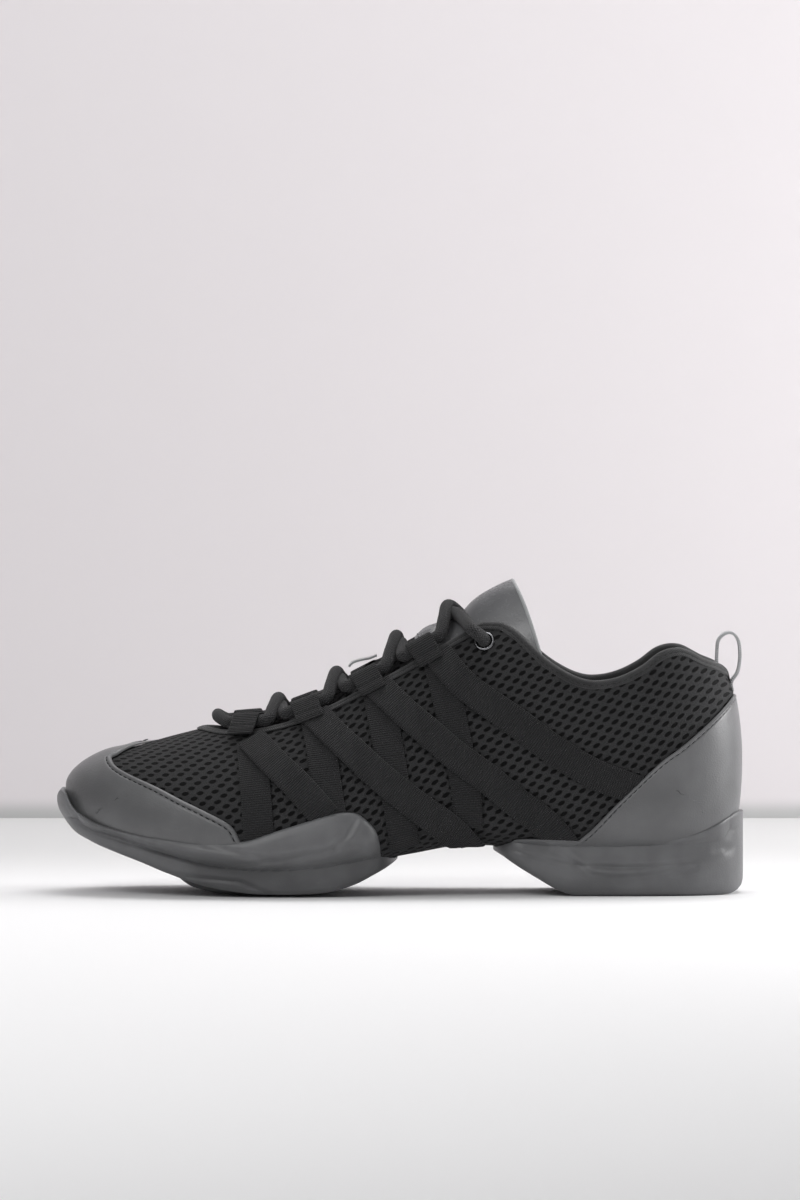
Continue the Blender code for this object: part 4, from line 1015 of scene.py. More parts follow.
BINDING = (
    (0.25, -2.7), (0.6, -2.5), (0.75, -1.9), (0.55, -1.45), (0.8, -0.9), (0.75, -0.2), (0.35, 0.4),
    (-0.5, 0.75), (-1.5, 0.6), (-2.2, 0.1), (-2.5, -0.8), (-2.6, -2.0), (-2.4, -2.8),
)
edge_ring, edge_normals, edge_past = opening_ring(1.2 * MM)
band = ring_band("opening_binding", edge_ring, edge_normals, edge_past, BINDING)
binding = walled(agreed(band), 0.3 * MM, 0.0)
binding_cloth = cloth_finish("binding", (0.030, 0.030, 0.031), 0.8 * MM, 0.75)
placed(binding, binding_cloth, "knit")
seam_points = edge_ring + edge_normals * (0.62 * MM) - edge_past * (1.45 * MM)
seam_loop = (np.vstack((seam_points, seam_points[:1])), np.vstack((edge_normals, edge_normals[:1])))
binding_stitches = stitch_rows("binding_stitches", [seam_loop], 2.3 * MM, 1.5 * MM, 0.4 * MM)
placed(binding_stitches, THREAD, "knit")


# Straps: flat ribbed webbing laid over the knit, four going down from the throat on each side and
# four slanting back over them. Their lower ends are caught under the soles' rims and the counter.
WEB_WIDTH = 11.6 * MM
WEB = 1.0 * MM
STRAP_EASE = 0.2 * MM
BAND = 0.62 * MM
RIM_FADE = 2.4 * MM
UNDER_RIM = 1.15 * MM
UNDER_COUNTER = 0.75 * MM
STRAPS_DOWN = (
    ((0.2868, 0.4890), (0.2930, 0.3400), (0.2985, 0.1700)),
    ((0.3790, 0.5640), (0.3876, 0.4708), (0.3932, 0.3758), (0.4030, 0.2300)),
    ((0.4683, 0.6560), (0.4811, 0.5025), (0.4943, 0.3275), (0.5065, 0.1650)),
    ((0.5547, 0.7590), (0.5691, 0.6300), (0.5808, 0.5025), (0.5951, 0.3433), (0.5975, 0.2250)),
)
STRAPS_SLANT = (
    ((0.2868, 0.4930), (0.3215, 0.4200), (0.3558, 0.3500), (0.4080, 0.2200)),
    (
        (0.3800, 0.5700), (0.4064, 0.5125), (0.4336, 0.4583), (0.4668, 0.3917), (0.5158, 0.3058),
        (0.5577, 0.2417), (0.6040, 0.1740),
    ),
    (
        (0.4700, 0.6620), (0.5102, 0.5792), (0.5491, 0.5092), (0.5777, 0.4550), (0.6283, 0.3758),
        (0.6657, 0.3083), (0.7090, 0.2383), (0.7500, 0.1500),
    ),
    (
        (0.5560, 0.7650), (0.5909, 0.6775), (0.6325, 0.6108), (0.6728, 0.5508), (0.7177, 0.4775),
        (0.7781, 0.3975), (0.8600, 0.3280),
    ),
)
STRAP_SHARES = np.array((-0.5, -0.488, -0.455, -0.40, -0.20, 0.0, 0.20, 0.40, 0.455, 0.488, 0.5))
STRAP_DIPS = np.array((0.50, 0.24, 0.05, -0.05, 0.0, 0.0, 0.0, -0.05, 0.05, 0.24, 0.50)) * MM


def between(a, b, c, d, share):
    """A point between b and c on the smooth curve through a to d, paced by the root of their gaps."""
    knots = [0.0]
    for start, end in ((a, b), (b, c), (c, d)):
        knots.append(knots[-1] + max(np.linalg.norm(end - start), 1e-9) ** 0.5)
    t = knots[1] + (knots[2] - knots[1]) * share
    level = [a, b, c, d]
    for width in (1, 2):
        level = [
            start + (end - start) * (t - knots[i]) / (knots[i + width] - knots[i])
            for i, (start, end) in enumerate(zip(level, level[1:]))
        ]
    return level[0] + (level[1] - level[0]) * (t - knots[1]) / (knots[2] - knots[1])


def smooth_steps(controls, count):
    """The smooth curve through all the controls but the first and last, each span cut into count steps."""
    points = [controls[1]]
    for i in range(len(controls) - 3):
        points += [between(*controls[i : i + 4], (k + 1) / count) for k in range(count)]
    return points


def curve_points(points, pitch):
    """Points about every pitch along a smooth line through the given ones."""
    controls = [np.array(point, dtype=float) for point in points]
    controls = [controls[0] * 2 - controls[1]] + controls + [controls[-1] * 2 - controls[-2]]
    fine = np.array(smooth_steps(controls, 16))
    return evenly(fine, max(int(round(reach_along(fine)[-1] / pitch)), 2))


def band_map(reach, across):
    """A band's map: metres along it and across it."""
    return np.stack(np.broadcast_arrays(reach[:, None], across[None]), axis=-1)


def sole_rim(x):
    """The height of the soles' rims at x, and nothing over the waist between them."""
    at = x / LENGTH
    rim = np.where(at < 0.497, forefoot_at(at)[0], np.where(at > 0.636, heel_at(at)[0], 0.0))
    return rim * INSTEP_HEIGHT


def strap(name, line, hand, lift):
    """Webbing laid on the upper along a line seen from the side, lifted where it passes over others."""
    run = np.gradient(line, axis=0)
    x, z = line[:, 0], line[:, 1]
    turn = turn_at(x, z)
    normal = normal_at(x, turn, hand)
    slope = unit(on_last(x, np.minimum(turn + 1, 90), hand) - on_last(x, turn - 1, hand))
    rise = slope * (run[:, 1] / np.maximum(slope[:, 2], 0.2))[:, None]
    along = np.stack((run[:, 0], 0 * x, 0 * x), axis=-1) + rise
    across = unit(np.cross(normal, along)) * hand
    offset = across[:, None] * (WEB_WIDTH * STRAP_SHARES)[None, :, None]
    at_x, at_z = x[:, None] + offset[..., 0], z[:, None] + offset[..., 2]
    low = section(at_x)[0] + 0.022 * INSTEP_HEIGHT
    at_z = np.maximum(at_z, low)
    height = CLEARANCE + STRAP_EASE + WEB + lift(at_x, at_z) - STRAP_DIPS
    under_rim = smooth((sole_rim(at_x) + RIM_FADE - at_z) / RIM_FADE)
    under_counter = smooth((into_counter(at_x, at_z) + 0.6 * MM) / (1.4 * MM))
    height = height + (UNDER_RIM - height) * under_rim * (sole_rim(at_x) > 0)
    height = height + (UNDER_COUNTER - height) * under_counter
    turn = turn_at(at_x, at_z)
    points = on_last(at_x, turn, hand) + normal_at(at_x, turn, hand) * height[..., None]
    uv = band_map(reach_along(points[:, 5]), WEB_WIDTH * STRAP_SHARES)
    kept = (z > sole_rim(x) - 2.0 * MM) & (into_counter(x, z) < 6 * MM)
    last = len(kept) if kept.all() else max(int(np.argmin(kept)), 4)
    points, uv = points[:last], uv[:last]
    if hand > 0:
        points, uv = points[:, ::-1], uv[:, ::-1]
    return walled(agreed(sheet(name, points, uv)), BAND)


def distance_to(lines, x, z):
    """How far places lie from the nearest of some lines, seen from the side."""
    dense = np.concatenate([evenly(line, 260) for line in lines])
    dense = np.column_stack((dense, np.zeros(len(dense))))
    return nearest_distance(np.stack((x, z, 0 * x), axis=-1), dense)


def webbing_finish(name, colour, rib=0.9 * MM, depth=0.35 * MM):
    """Woven band: fine cross ribs and finer warp threads along it."""
    finish = Finish(name, sheen_weight=0.04, specular_ior_level=0.3)
    u, v, _ = finish.parts(finish.place())
    wear_and_painted_light = finish.noise(finish.place(), 160.0)
    ribs = (u * (2 * math.pi / rib) + wear_and_painted_light * 1.2).wave()
    threads = v.wave(0.62 * MM)
    weave = ribs * 0.5 + threads * 0.28
    # Painted light: the raised ribs and threads are painted lighter and the troughs between them darker, on
    # top of a random tone from the noise.
    painted_light_and_tone = (weave + wear_and_painted_light * 0.8).step(-0.4, 1.2)
    finish.set("Base Color", finish.blend(painted_light_and_tone, *shades(colour, 0.55, 1.45)))
    finish.set("Roughness", 0.78 - weave * 0.08)
    finish.relief(weave + wear_and_painted_light * 0.3, depth)
    return finish.material


webbing = webbing_finish("webbing", (0.0165, 0.0165, 0.0175))
downs = [curve_points(np.array(points) * (LENGTH, INSTEP_HEIGHT), 2.0 * MM) for points in STRAPS_DOWN]
slants = [curve_points(np.array(points) * (LENGTH, INSTEP_HEIGHT), 2.0 * MM) for points in STRAPS_SLANT]
CROSS_LIFT = WEB + 1.6 * CLEARANCE + STRAP_EASE - 0.5 * MM


def over_downs(x, z):
    return CROSS_LIFT * smooth((1.55 * WEB_WIDTH - distance_to(downs, x, z)) / (0.8 * WEB_WIDTH))


for side, hand in (("outer", -1), ("inner", 1)):
    for i, (down, slant) in enumerate(zip(downs, slants), start=1):
        piece = strap(f"webbing_down_{side}_{i}", down, hand, lambda x, z: 0.0 * x)
        placed(piece, webbing, "webbing", f"strap_down_{side}_{i}")
        piece = strap(f"webbing_slant_{side}_{i}", slant, hand, over_downs)
        placed(piece, webbing, "webbing", f"strap_slant_{side}_{i}")


# Lace loops: the same webbing folded over the lace at the throat's edge and sewn across its foot.
LOOPS = (0.2780, 0.3700, 0.4585, 0.5395)
LOOP_LENGTH = 10 * MM
LACE_RADIUS = 2.3 * MM
LACE_LOOK = 2.5 * MM  # the braid swells a little outside the loops


def throat_frame(x, hand):
    """At the throat's edge: the point, the normal, the way on past the edge, and the way along it."""
    step = 0.2 * LOOP_LENGTH

    def edge_point(place):
        turn = turn_at(place, edge_at(place / LENGTH)[0] * INSTEP_HEIGHT)
        return turn, on_last(place, turn, hand)

    turn, point = edge_point(x)
    normal = normal_at(x, turn, hand)
    along = unit(edge_point(x + step)[1] - edge_point(x - step)[1])
    past = unit(np.cross(normal, along)) * hand
    return point, normal, past * np.sign(past[2]), along


def loop_centre(at, hand, along_share=0.0):
    """The middle of a lace loop's tunnel, or a point that far along it as a share of its length."""
    point, normal, past, along = throat_frame(at * LENGTH, hand)
    outside = LACE_RADIUS + 1.4 * CLEARANCE + WEB
    out = 0.55 * outside
    reach = math.sqrt((outside + 1.5 * CLEARANCE) ** 2 - out**2)
    return point + normal * out + past * reach + along * (along_share * LOOP_LENGTH)


def lace_loop(name, at, hand):
    point, normal, past, along = throat_frame(at * LENGTH, hand)
    centre = loop_centre(at, hand)
    radius = LACE_RADIUS + 0.45 * CLEARANCE + WEB
    def beside(out, on):
        """A place out from the upper and on past the throat's edge, in millimetres."""
        return point + normal * (out * MM) + past * (on * MM)

    profile = [beside(3.3, -6.2), beside(3.75, -4.6), beside(3.9, -2.6), beside(4.6, -0.2)]
    for angle in range(-18, 199, 12):
        turned = math.radians(angle)
        profile.append(centre + (normal * math.cos(turned) + past * math.sin(turned)) * radius)
    profile = np.array(profile + [beside(-2.4, -1.0), beside(-2.7, -4.5)])
    shares = np.array((-0.5, -0.47, -0.40, 0.0, 0.40, 0.47, 0.5))
    pinch = 1 - np.array((0.09, 0.03, 0, 0, 0, 0.03, 0.09))
    points = np.array([
        centre + (profile - centre) * narrow + along * (share * 1.08 * LOOP_LENGTH)
        for share, narrow in zip(shares, pinch)
    ]).transpose(1, 0, 2)
    piece = sheet(name, points, band_map(reach_along(profile), shares * WEB_WIDTH))
    normals = values_of(piece.data.vertex_normals, "vector").reshape(points.shape)
    outward = (normals[8:14] * (points[8:14] - centre)).sum()
    walled(piece, 0.85 * WEB, -1 if outward > 0 else 1, 0.25 * MM)
    rows = []
    for out, on in ((4.35, -1.2), (4.25, -4.3)):
        line = beside(out, on) + along * (np.linspace(-5, 5, 12) * MM)[:, None]
        rows.append((line, np.broadcast_to(normal, line.shape)))
    return piece, rows


for side, hand in (("outer", -1), ("inner", 1)):
    for i, at in enumerate(LOOPS, start=1):
        piece, rows = lace_loop(f"webbing_loop_{side}_{i}", at, hand)
        placed(piece, webbing, "webbing", f"lace_loop_{side}_{i}")
        sewn = stitch_rows(f"loop_stitches_{side}_{i}", rows, 1.7 * MM, 1.3 * MM, 0.4 * MM)
        placed(sewn, THREAD, "webbing")


# Tongue: padded knit that bulges between the crossings of the lace, and a glossy panel sewn over its
# upper part with a bright piped edge. The panel's print is left off.
TONGUE_FRONT = 0.175 * LENGTH
TONGUE_TOP = 0.664 * LENGTH
CROSSINGS = (0.3270, 0.4130, 0.5010, 0.5750)
TONGUE_BULGE = 3.2 * MM
LACE_DENT = 3.4 * MM
DENT_REACH = 6.5 * MM
TONGUE_WALL = 3.4 * MM
PANEL_WALL = 0.9 * MM
PANEL_START = (137.5 * MM - TONGUE_FRONT) / (TONGUE_TOP - TONGUE_FRONT)


def tongue_half_turn(share):
    return 44 + 12 * smooth(share * 2) - 26 * (1 - smooth(share / 0.12))


def tongue_out(x, turn, share, wall):
    """How far the tongue's face lies off the last: under the upper's wall, and proud in the throat."""
    q = (90 - turn) / tongue_half_turn(share)
    loose = (3.6 + 4 * share * q * q + 1.5 * smooth(1 - share / 0.3)) * CLEARANCE
    middle = smooth(1 - q / 0.62) * smooth((x - THROAT_FRONT) / (25 * MM) - 0.2)
    dents = sum(np.exp(-(((x - at * LENGTH) / DENT_REACH) ** 2)) for at in CROSSINGS)
    return middle * (TONGUE_BULGE - LACE_DENT * np.minimum(dents, 1.0)) - wall - loose


def tongue_sheet(shares, qs, above):
    share, q = np.meshgrid(shares, qs, indexing="ij")
    turn = 90 - abs(q) * tongue_half_turn(share)
    x = TONGUE_FRONT + (TONGUE_TOP - TONGUE_FRONT) * share + 11 * MM * share**3 * abs(q) ** 1.6
    hand = np.where(q >= 0, 1, -1)
    place = on_last(x, turn, hand)
    out = tongue_out(x, turn, share, collar_wall(x, place[..., 2]))
    puff = 0.35 * MM * np.sin(x * 900) * np.sin(q * 9 + 1) * smooth(1 - abs(q))
    points = place + normal_at(x, turn, hand) * (out + puff * (share < PANEL_START) + above)[..., None]
    run = np.linalg.norm(np.diff(points, axis=1), axis=-1)
    around = np.concatenate((np.zeros((len(shares), 1)), np.cumsum(run, axis=1)), axis=1)
    around = around - around[:, len(qs) // 2 : len(qs) // 2 + 1]
    return points, np.stack((x, around), axis=-1)


def face_up(piece):
    """Turns a sheet over if most of it faces down."""
    def turn(mesh):
        bmesh.ops.recalc_face_normals(mesh, faces=mesh.faces)
        if sum(face.normal.z * face.calc_area() for face in mesh.faces) < 0:
            bmesh.ops.reverse_faces(mesh, faces=mesh.faces)

    return edited(piece, turn)


tongue_knit = knit_finish("tongue_knit")
panel_gloss = leather_finish("tongue_panel", (0.120, 0.121, 0.126), 0.27, 0.03 * MM)
points, uv = tongue_sheet(np.linspace(0, 1, 110), np.linspace(-1, 1, 49), 0.0)
tongue = sheet("tongue_padding", points, uv)
tongue.data.materials.append(tongue_knit)
tongue.data.materials.append(lining)
walled(face_up(tongue), TONGUE_WALL, -1, 1.0 * MM, 3, 50)
placed(tongue, tongue_knit, "tongue", "tongue")
points, uv = tongue_sheet(np.linspace(PANEL_START, 1.004, 44), np.linspace(-0.97, 0.97, 49), 0.75 * MM)
panel = walled(face_up(sheet("tongue_panel", points, uv)), PANEL_WALL, -1, 0.3 * MM, 3, 50)
placed(panel, panel_gloss, "tongue")
seam_shares = np.array((PANEL_START + 0.012, PANEL_START + 0.03))
points, _ = tongue_sheet(seam_shares, np.linspace(-0.95, 0.95, 60), 0.8 * MM)
upward = np.zeros_like(points[0]) + (0, 0, 1.0)
panel_stitches = stitch_rows("panel_stitches", [(points[0], upward)], 2.2 * MM, 1.5 * MM, 0.4 * MM)
placed(panel_stitches, THREAD, "tongue")


def tube(name, line, radius, sides=14):
    """A round cord along a line, closed at its ends, with a map in metres along it and round it."""
    line = np.array(line)
    along = unit(np.gradient(line, axis=0))
    side = unit(np.cross(along[0], (0.0, 0.0, 1.0)))
    angles = np.linspace(0, 2 * math.pi, sides + 1)
    rings = []
    for place, way in zip(line, along):
        side = unit(side - way * side.dot(way))
        other = np.cross(way, side)
        rings.append(place + (side * np.cos(angles)[:, None] + other * np.sin(angles)[:, None]) * radius)
    ends = [np.repeat(line[i][None], sides + 1, axis=0)[None] for i in (0, -1)]
    points = np.concatenate((ends[0], np.array(rings), ends[1]))
    reach = reach_along(line)
    reach = np.concatenate(([-radius], reach, [reach[-1] + radius]))
    return faces_outward(merged(sheet(name, points, band_map(reach, angles * radius)), 0.002 * MM))


points, _ = tongue_sheet(np.linspace(0.90, 1.0, 12), np.linspace(-1, 1, 61), 0.1 * MM)
piping_line = np.concatenate((points[:-1, 0], points[-1], points[:-1, -1][::-1]))
piping = tube("tongue_piping", evenly(piping_line, 130), 0.8 * MM, 10)
grey_gloss = leather_finish("piping", (0.28, 0.285, 0.29), 0.35, 0.02 * MM)
placed(piping, grey_gloss, "tongue")


# Lace: a round braided cord that runs through the loops from side to side and crosses over the tongue.
# Its two ends stop inside the top eyelets.
LACE_LEAD = 0.76
EYELET_AT = (0.6230, 0.8117)


def eyelet_frame(hand):
    x, z = EYELET_AT[0] * LENGTH, EYELET_AT[1] * INSTEP_HEIGHT
    turn = turn_at(x, z)
    return on_last(x, turn, hand), normal_at(x, turn, hand)


def on_tongue(x, turn, hand, above):
    """A point of the lace's middle line where it lies on the tongue, or that far above it."""
    share = (x - TONGUE_FRONT) / (TONGUE_TOP - TONGUE_FRONT)
    out = tongue_out(x, turn, share, WALL) + 2.4 * CLEARANCE + LACE_RADIUS + above
    return on_last(x, turn, hand) + normal_at(x, turn, hand) * out


def lace_half(start_hand):
    """One half of the lace: up through the loops from side to side over the tongue, to an eyelet."""
    line = [loop_centre(LOOPS[0], start_hand, -LACE_LEAD)]
    hand = start_hand
    for i, at in enumerate(LOOPS):
        above = 1.35 * LACE_RADIUS if (i % 2 == 0) == (start_hand < 0) else 0.0
        crossing = CROSSINGS[i] * LENGTH
        leaves = loop_centre(at, hand, LACE_LEAD)
        if i < len(LOOPS) - 1:
            enters = [loop_centre(LOOPS[i + 1], -hand, share) for share in (-LACE_LEAD, 0)]
        else:
            place, axis = eyelet_frame(-hand)
            forward = unit(np.array((-1, 0, 0.6)))
            enters = [place + axis * (2.5 * LACE_RADIUS) + forward * (1.6 * LACE_RADIUS)]
            enters.append(place + axis * (2.0 * LACE_RADIUS) + forward * (0.4 * LACE_RADIUS))
            enters += [place + axis * LACE_RADIUS, place]
        before = on_tongue(crossing + 0.4 * (leaves[0] - PLACE[0] - crossing), 74, hand, 0.7 * above)
        over = on_tongue(crossing, 90, hand, above)
        beyond = on_tongue(crossing + 0.4 * (enters[0][0] - PLACE[0] - crossing), 74, -hand, 0.7 * above)
        line += smooth_steps([loop_centre(at, hand), leaves, before, over, beyond] + enters, 9)
        hand = -hand
    line.append(place - axis * (0.5 * WALL))
    return np.array(line)


def braid_finish(name, colour):
    """Braid: strands that slant both ways round the cord."""
    finish = Finish(name, sheen_weight=0.08, specular_ior_level=0.3)
    u, v, _ = finish.parts(finish.place())
    turns = 2 * math.pi * 8 / (2 * math.pi * LACE_RADIUS)
    steep = 2 * math.pi / (1.9 * MM)
    left, right = (u * steep + v * turns).wave(), (u * steep - v * turns).wave()
    strands = (left * left) * 0.5 + (right * right) * 0.5
    cloud = finish.noise(finish.place(), 300.0)
    # Painted light: the raised strands are painted lighter and the grooves between them darker, with a
    # random tone from the clouds.
    painted_light_and_tone = (strands + cloud * 0.4).step(0.2, 1.1)
    finish.set("Base Color", finish.blend(painted_light_and_tone, *shades(colour, 0.45, 1.5)))
    finish.set("Roughness", 0.72 + cloud * 0.15)
    finish.relief(strands + cloud * 0.2, 0.45 * MM)
    return finish.material


halves = [tube(f"lace_{hand}", evenly(lace_half(hand), 420), LACE_LOOK, 18) for hand in (-1, 1)]
ends = [loop_centre(LOOPS[0], hand, -LACE_LEAD - 0.02) for hand in (-1, 1)]
inside = [loop_centre(LOOPS[0], hand, -0.4) for hand in (-1, 1)]
front_x = LOOPS[0] * LENGTH - 1.05 * LOOP_LENGTH
middle = on_last(front_x, 90, 1) + (0, 0, LACE_RADIUS + 2 * CLEARANCE)
quarter = [end + (middle - end) * 0.45 + np.array((-1.1, 0, 0.5)) * LACE_RADIUS for end in ends]
arc = [inside[0], ends[0], quarter[0], middle, quarter[1], ends[1], inside[1]]
bar_line = np.array([inside[0]] + smooth_steps(arc, 10) + [inside[1]])
bar = tube("lace_bar", evenly(bar_line, 70), 0.98 * LACE_LOOK, 18)
lace = joined("lace_cord", halves + [bar])
placed(lace, braid_finish("lace_braid", (0.025, 0.025, 0.0262)), "lace_cord", "lace")


# Top eyelets: pressed metal rings, one in each top corner of the throat.
def eyelet(name, hand):
    place, axis = eyelet_frame(hand)
    bore, rim = LACE_RADIUS + 0.45 * MM, 4.0 * MM
    profile = [(bore, -1.2 * MM), (bore, 0.3 * MM)]
    for angle in np.linspace(180, 0, 13):
        turned = math.radians(angle)
        middle, half = (bore + rim) / 2, (rim - bore) / 2
        profile.append((middle + half * math.cos(turned), CLEARANCE + 0.85 * MM * math.sin(turned)))
    profile += [(rim, 0.1 * MM), (bore + 0.4 * MM, 0.0), (bore + 0.4 * MM, -1.2 * MM), (bore, -1.2 * MM)]
    side = unit(np.cross(axis, (0.0, 1.0, 0.3)))
    other = np.cross(axis, side)
    angles = np.linspace(0, 2 * math.pi, 41)
    points = np.array([
        place + axis * height + (np.cos(angles)[:, None] * side + np.sin(angles)[:, None] * other) * radius
        for radius, height in profile
    ])
    uv = np.stack((np.broadcast_to(angles * rim, points.shape[:2]), arc_up(points, 0)), axis=-1)
    return faces_outward(merged(sheet(name, points, uv), 0.002 * MM))


def metal_finish(name, colour):
    """Polished plating with faint rubbed scratches."""
    finish = Finish(name, metallic=1.0)
    where = finish.place(uv=False)
    rubbed = finish.noise(where, 900.0, 4.0)
    finish.set("Base Color", finish.blend(rubbed, *shades(colour, 0.8, 1.15)))
    finish.set("Roughness", 0.18 + rubbed * 0.14)
    finish.relief(rubbed, 0.02 * MM)
    return finish.material


plating = metal_finish("eyelet_plating", (0.20, 0.20, 0.21))
for side, hand in (("outer", -1), ("inner", 1)):
    placed(eyelet(f"eyelet_ring_{side}", hand), plating, "eyelet_metal", f"eyelet_{side}")


# Keeper and pull loop: a short band that arches over the lace on the tongue, and a folded ribbon of
# silvery webbing at the back of the collar.
KEEPER_LINE = (
    (0.4250, 0.7300), (0.4300, 0.7420), (0.4370, 0.7490), (0.4470, 0.7540), (0.4570, 0.7590),
    (0.4660, 0.7670),
)
PULL_LINE = (
    (0.9863, 0.6480), (0.9845, 0.6750), (0.9930, 0.7050), (0.9965, 0.7400), (0.9970, 0.7800),
    (0.9945, 0.8120), (0.9880, 0.8330), (0.9800, 0.8400), (0.9700, 0.8330), (0.9620, 0.8120),
    (0.9600, 0.7800), (0.9595, 0.7200), (0.9610, 0.6300),
)


def middle_band(name, line, width, thickness):
    """A band across the shoe's middle, from its line seen from the side."""
    flat = curve_points(np.array(line) * (LENGTH, INSTEP_HEIGHT), 0.8 * MM)
    side = section(np.clip(flat[:, 0], FORM_START, FORM_END))[4]
    shares = np.array((-0.5, -0.49, -0.45, -0.2, 0.0, 0.2, 0.45, 0.49, 0.5))
    points = np.empty((len(flat), len(shares), 3))
    points[..., 0] = flat[:, :1]
    points[..., 1] = side[:, None] + width * shares
    points[..., 2] = flat[:, 1:]
    points += PLACE
    piece = sheet(name, points, band_map(reach_along(flat), width * shares))
    normals = values_of(piece.data.vertex_normals, "vector").reshape(points.shape)
    outward = (normals * (points - points.mean(axis=(0, 1)))).sum()
    return walled(piece, thickness, -1 if outward > 0 else 1, 0.28 * MM)


keeper = middle_band("keeper_band", KEEPER_LINE, 12 * MM, 0.8 * MM)
placed(keeper, grey_gloss, "webbing", "lace_keeper")
silver = webbing_finish("pull_ribbon", (0.50, 0.505, 0.515), 0.7 * MM, 0.2 * MM)
pull = middle_band("pull_ribbon_loop", PULL_LINE, 10 * MM, 1.0 * MM)
placed(pull, silver, "pull_ribbon", "pull_loop")


# Sole units: two moulded rubber cups, one under the forefoot and one under the heel, with a soft ridge
# and groove along each side and a round pivot pad under the ball of the foot. Each is a block in the
# outline of the foot, hollowed by the last.
RIM_WALL = 2.0 * MM
SIDE_BULGE = 1.3 * MM
SIDE_GROOVE = 0.8 * MM
PAD_HALF = 20.5 * MM
SOLE_SIDE = (
    # share from the rim down, bulge, groove
    (0.000, -1.2, 0.0),
    (0.020, -0.45, 0.0),
    (0.060, 0.0, 0.0),
    (0.200, 0.65, 0.0),
    (0.330, 0.95, 0.0),
    (0.400, 1.0, 0.35),
    (0.450, 1.0, 1.0),
    (0.500, 1.05, 0.35),
    (0.570, 1.15, 0.0),
    (0.760, 0.9, 0.0),
    (0.900, 0.1, 0.0),
    (0.960, -0.6, 0.0),
    (1.000, -1.7, 0.0),
)
# Relief on the sides, seen from the side in mm: points, width, height
FOREFOOT_LINES = (
    (((30, 20.5), (48.5, 19.5), (64, 16.6), (79.5, 13.7), (86, 12.6)), 1.6, 0.6),
    (((58, 20.6), (68, 18.6), (80, 15.6)), 1.3, -0.6),
    (((75, 13.7), (89, 14.4), (103, 16.4)), 1.2, -0.35),
    (((115.7, 30.2), (112.5, 24.6), (107.7, 19.5)), 1.4, -0.7),
    (((117.6, 29.4), (115.0, 24.0), (110.2, 18.6)), 1.5, 0.5),
    (((40.5, 8.6), (48.5, 8.0), (71.4, 6.1), (84.8, 0.4)), 0.9, -1.0),
    (((12.0, 20.0), (23.7, 15.7), (33.0, 11.6)), 1.1, -0.45),
)
HEEL_LINES = (
    (
        (
            (190.5, 19.4), (196.5, 18.7), (201.0, 14.4), (206.6, 10.3), (214.0, 9.0), (221.9, 9.2),
            (234.0, 10.8), (246.3, 13.0), (256.0, 16.4),
        ), 1.4, 0.6,
    ),
    (((192.0, 16.6), (198.0, 13.6), (204.0, 9.2), (213.0, 7.2), (224.0, 7.4), (246.0, 11.0)), 1.3, -0.5),
    (((254.0, 17.4), (260.0, 18.4), (266.0, 19.6)), 1.7, -0.35),
)
side_at = smooth_table(SOLE_SIDE)


def foot_half(x, z, first, final, start_reach, end_reach):
    """Half the foot's width at height z, in an outline that is rounded off at a sole unit's own ends."""
    inner = np.clip(x, FORM_START + 0.015 * LENGTH, FORM_END - 0.015 * LENGTH)
    low, widest = section(inner)[:2]
    half = last_at(x / LENGTH)[3] * BALL_WIDTH
    below = np.clip((widest - z) / (widest - low), 0.0, 0.86)
    half = half * (1 - below**BOTTOM_SQUARENESS) ** (1 / BOTTOM_SQUARENESS)
    return half * rounding(x - first, start_reach, 2.3) * rounding(final - x, end_reach, 2.3)


def capped(piece, split=False):
    """Closes a piece's open ends, where asked with triangles, and makes its faces agree."""
    def close(mesh):
        bmesh.ops.holes_fill(mesh, edges=[edge for edge in mesh.edges if edge.is_boundary])
        if split:
            bmesh.ops.triangulate(mesh, faces=[face for face in mesh.faces if len(face.verts) > 4])
        bmesh.ops.recalc_face_normals(mesh, faces=mesh.faces)

    return edited(piece, close)


def sole_block(name, table, lines, start_reach, end_reach):
    """The outer form of a sole unit, closed over its top."""
    shape = smooth_table(table)
    first, final = table[0][0] * LENGTH, table[-1][0] * LENGTH
    x = spaced(first, final, 210, 0.9)[None]
    down = np.concatenate(((0, .004, .01, .02, .035), np.linspace(0.055, 0.945, 44), (.965, .985, 1.0)))
    down = down[:, None]
    rim, ground, depth = shape(x / LENGTH)
    z = (ground + (rim - ground) * (1 - down)) * INSTEP_HEIGHT
    bulge, groove = side_at(down)
    wall = CLEARANCE + RIM_WALL + bulge * SIDE_BULGE - groove * depth * SIDE_GROOVE
    relief = 0 * z
    for points, width, height in lines:
        dense = evenly(np.array(points, dtype=float) * MM, 120)
        dense = np.column_stack((dense, np.zeros(len(dense))))
        far = nearest_distance(np.stack((x + 0 * z, z, 0 * z), axis=-1), dense)
        relief = relief + height * MM * np.exp(-((far / (width * MM)) ** 2))
    outline = foot_half(x, z, first, final, start_reach, end_reach)
    ends = rounding(x - first, 3 * RIM_WALL) * rounding(final - x, 3 * RIM_WALL)
    half = np.maximum(outline + (wall + relief) * ends, 0.0)
    side = section(np.clip(x, FORM_START, FORM_END))[4] + 0 * z
    rings = []
    for hand in (-1, 1):
        place = np.stack((x + 0 * z, side + hand * half, z), axis=-1) + PLACE
        rings.append(place if hand < 0 else place[::-1])
    loop = np.concatenate((rings[0], rings[1], rings[0][:1]))
    uv = np.stack((loop[..., 0], loop[..., 2]), axis=-1)
    return capped(merged(sheet(name, loop, uv), 0.01 * MM))


def cut(piece, operation, other):
    modifier = piece.modifiers.new(operation.title(), "BOOLEAN")
    modifier.operation = operation
    modifier.solver = "EXACT"
    modifier.object = other
    apply_all(piece)


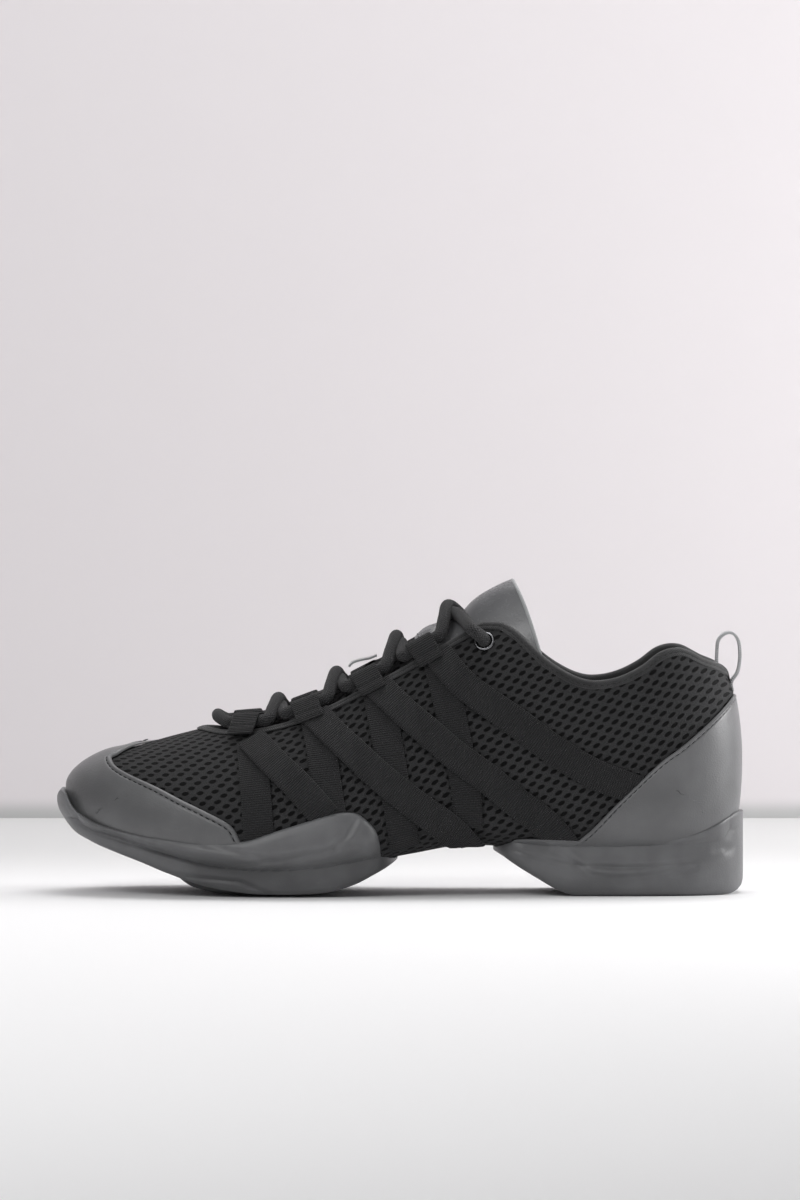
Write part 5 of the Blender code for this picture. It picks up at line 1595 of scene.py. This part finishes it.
def foot_space():
    """The last with its clearance, closed over the top, to hollow the soles with."""
    places = np.concatenate((
        spaced(FORM_START, THROAT_FRONT, 36, 1.0),
        spaced(THROAT_FRONT, COLLAR_BACK, 70, 0.8)[1:],
        (FORM_END - (FORM_END - COLLAR_BACK) * np.linspace(1, 0, 13) ** 2)[1:],
    ))
    turns = np.concatenate((np.linspace(-90, 0, 21), np.linspace(0, 60, 9)[1:]))[:, None] + 0 * places
    halves = []
    for hand in (-1, 1):
        points = on_last(np.broadcast_to(places, turns.shape), turns, hand)
        halves.append(half_sheet("foot", points, points[..., :2], hand))
    foot = faces_outward(merged(joined("foot_space", halves), 0.01 * MM))
    offsets(foot, lambda x, turn, z: 0 * x + CLEARANCE)
    return capped(foot, split=True)


FOREFOOT_PAD = (
    (0.1730, 0.0600), (0.1925, 0.0310), (0.2215, 0.0125), (0.2500, 0.0030), (0.2700, 0.0000),
    (0.3270, 0.0000),
)


def pivot_pad():
    """The round pad under the ball of the foot: a thin disc whose front edge lifts with the sole."""
    ground = smooth_table(FOREFOOT_PAD)
    first, final = FOREFOOT_PAD[0][0] * LENGTH, FOREFOOT_PAD[-1][0] * LENGTH
    x = spaced(first, final, 40, 1.0)
    side = section(np.array((first + final) / 2))[4]
    low = ground(x / LENGTH)[0] * INSTEP_HEIGHT
    top = forefoot_at(x / LENGTH)[1] * INSTEP_HEIGHT + RIM_WALL
    half = PAD_HALF * np.sqrt(np.maximum(1 - ((2 * x - first - final) / (final - first)) ** 2, 0.0))
    side_form = ((-0.97, low), (0.97, low), (1, low + 0.5 * MM), (1, top), (-1, top), (-1, low + 0.5 * MM))
    loop = np.array([
        np.stack((x, side + half * y_share, z), axis=-1) + PLACE
        for y_share, z in side_form + side_form[:1]
    ])
    return capped(merged(sheet("pivot_pad", loop, loop[..., :2]), 0.005 * MM))


def rubber_finish(name, colour):
    """Moulded rubber: a fine spark-eroded grain, cloudy gloss, and painted light that lightens its lowest
    part, which is also made rougher.
    """
    finish = Finish(name, specular_ior_level=0.45)
    where = finish.place(uv=False)
    z = finish.parts(where)[2]
    grain = finish.noise(where, 1500.0, 3.0, 0.7)
    cloud = finish.noise(where, 45.0, 3.0)
    # Painted light: the lowest 7 mm of the rubber are painted lighter, and made rougher.
    wear_and_painted_light = 1 - z.step(0.0, 7 * MM)
    tone = finish.blend(cloud.step(0.3, 0.7), *shades(colour, 0.8, 1.2))
    finish.set("Base Color", finish.blend(wear_and_painted_light * 0.35, tone, *shades(colour, 1.5)))
    finish.set("Roughness", 0.36 + (cloud - 0.5) * 0.2 + grain * 0.12 + wear_and_painted_light * 0.15)
    finish.relief(grain, 0.10 * MM)
    return finish.material


rubber = rubber_finish("sole_rubber", (0.115, 0.116, 0.120))
foot = foot_space()
forefoot = sole_block("forefoot_unit", FOREFOOT_SOLE, FOREFOOT_LINES, 56 * MM + FORM_START, 13 * MM)
pad = pivot_pad()
cut(forefoot, "UNION", pad)
cut(forefoot, "DIFFERENCE", foot)
placed(forefoot, rubber, "sole", "forefoot_sole", angle=35)
heel = sole_block("heel_unit", HEEL_SOLE, HEEL_LINES, 13 * MM, 34 * MM + 1.9 * MM)
cut(heel, "DIFFERENCE", foot)
placed(heel, rubber, "sole", "heel_sole", angle=35)
for spare in (foot, pad):
    bpy.data.objects.remove(spare, do_unlink=True)
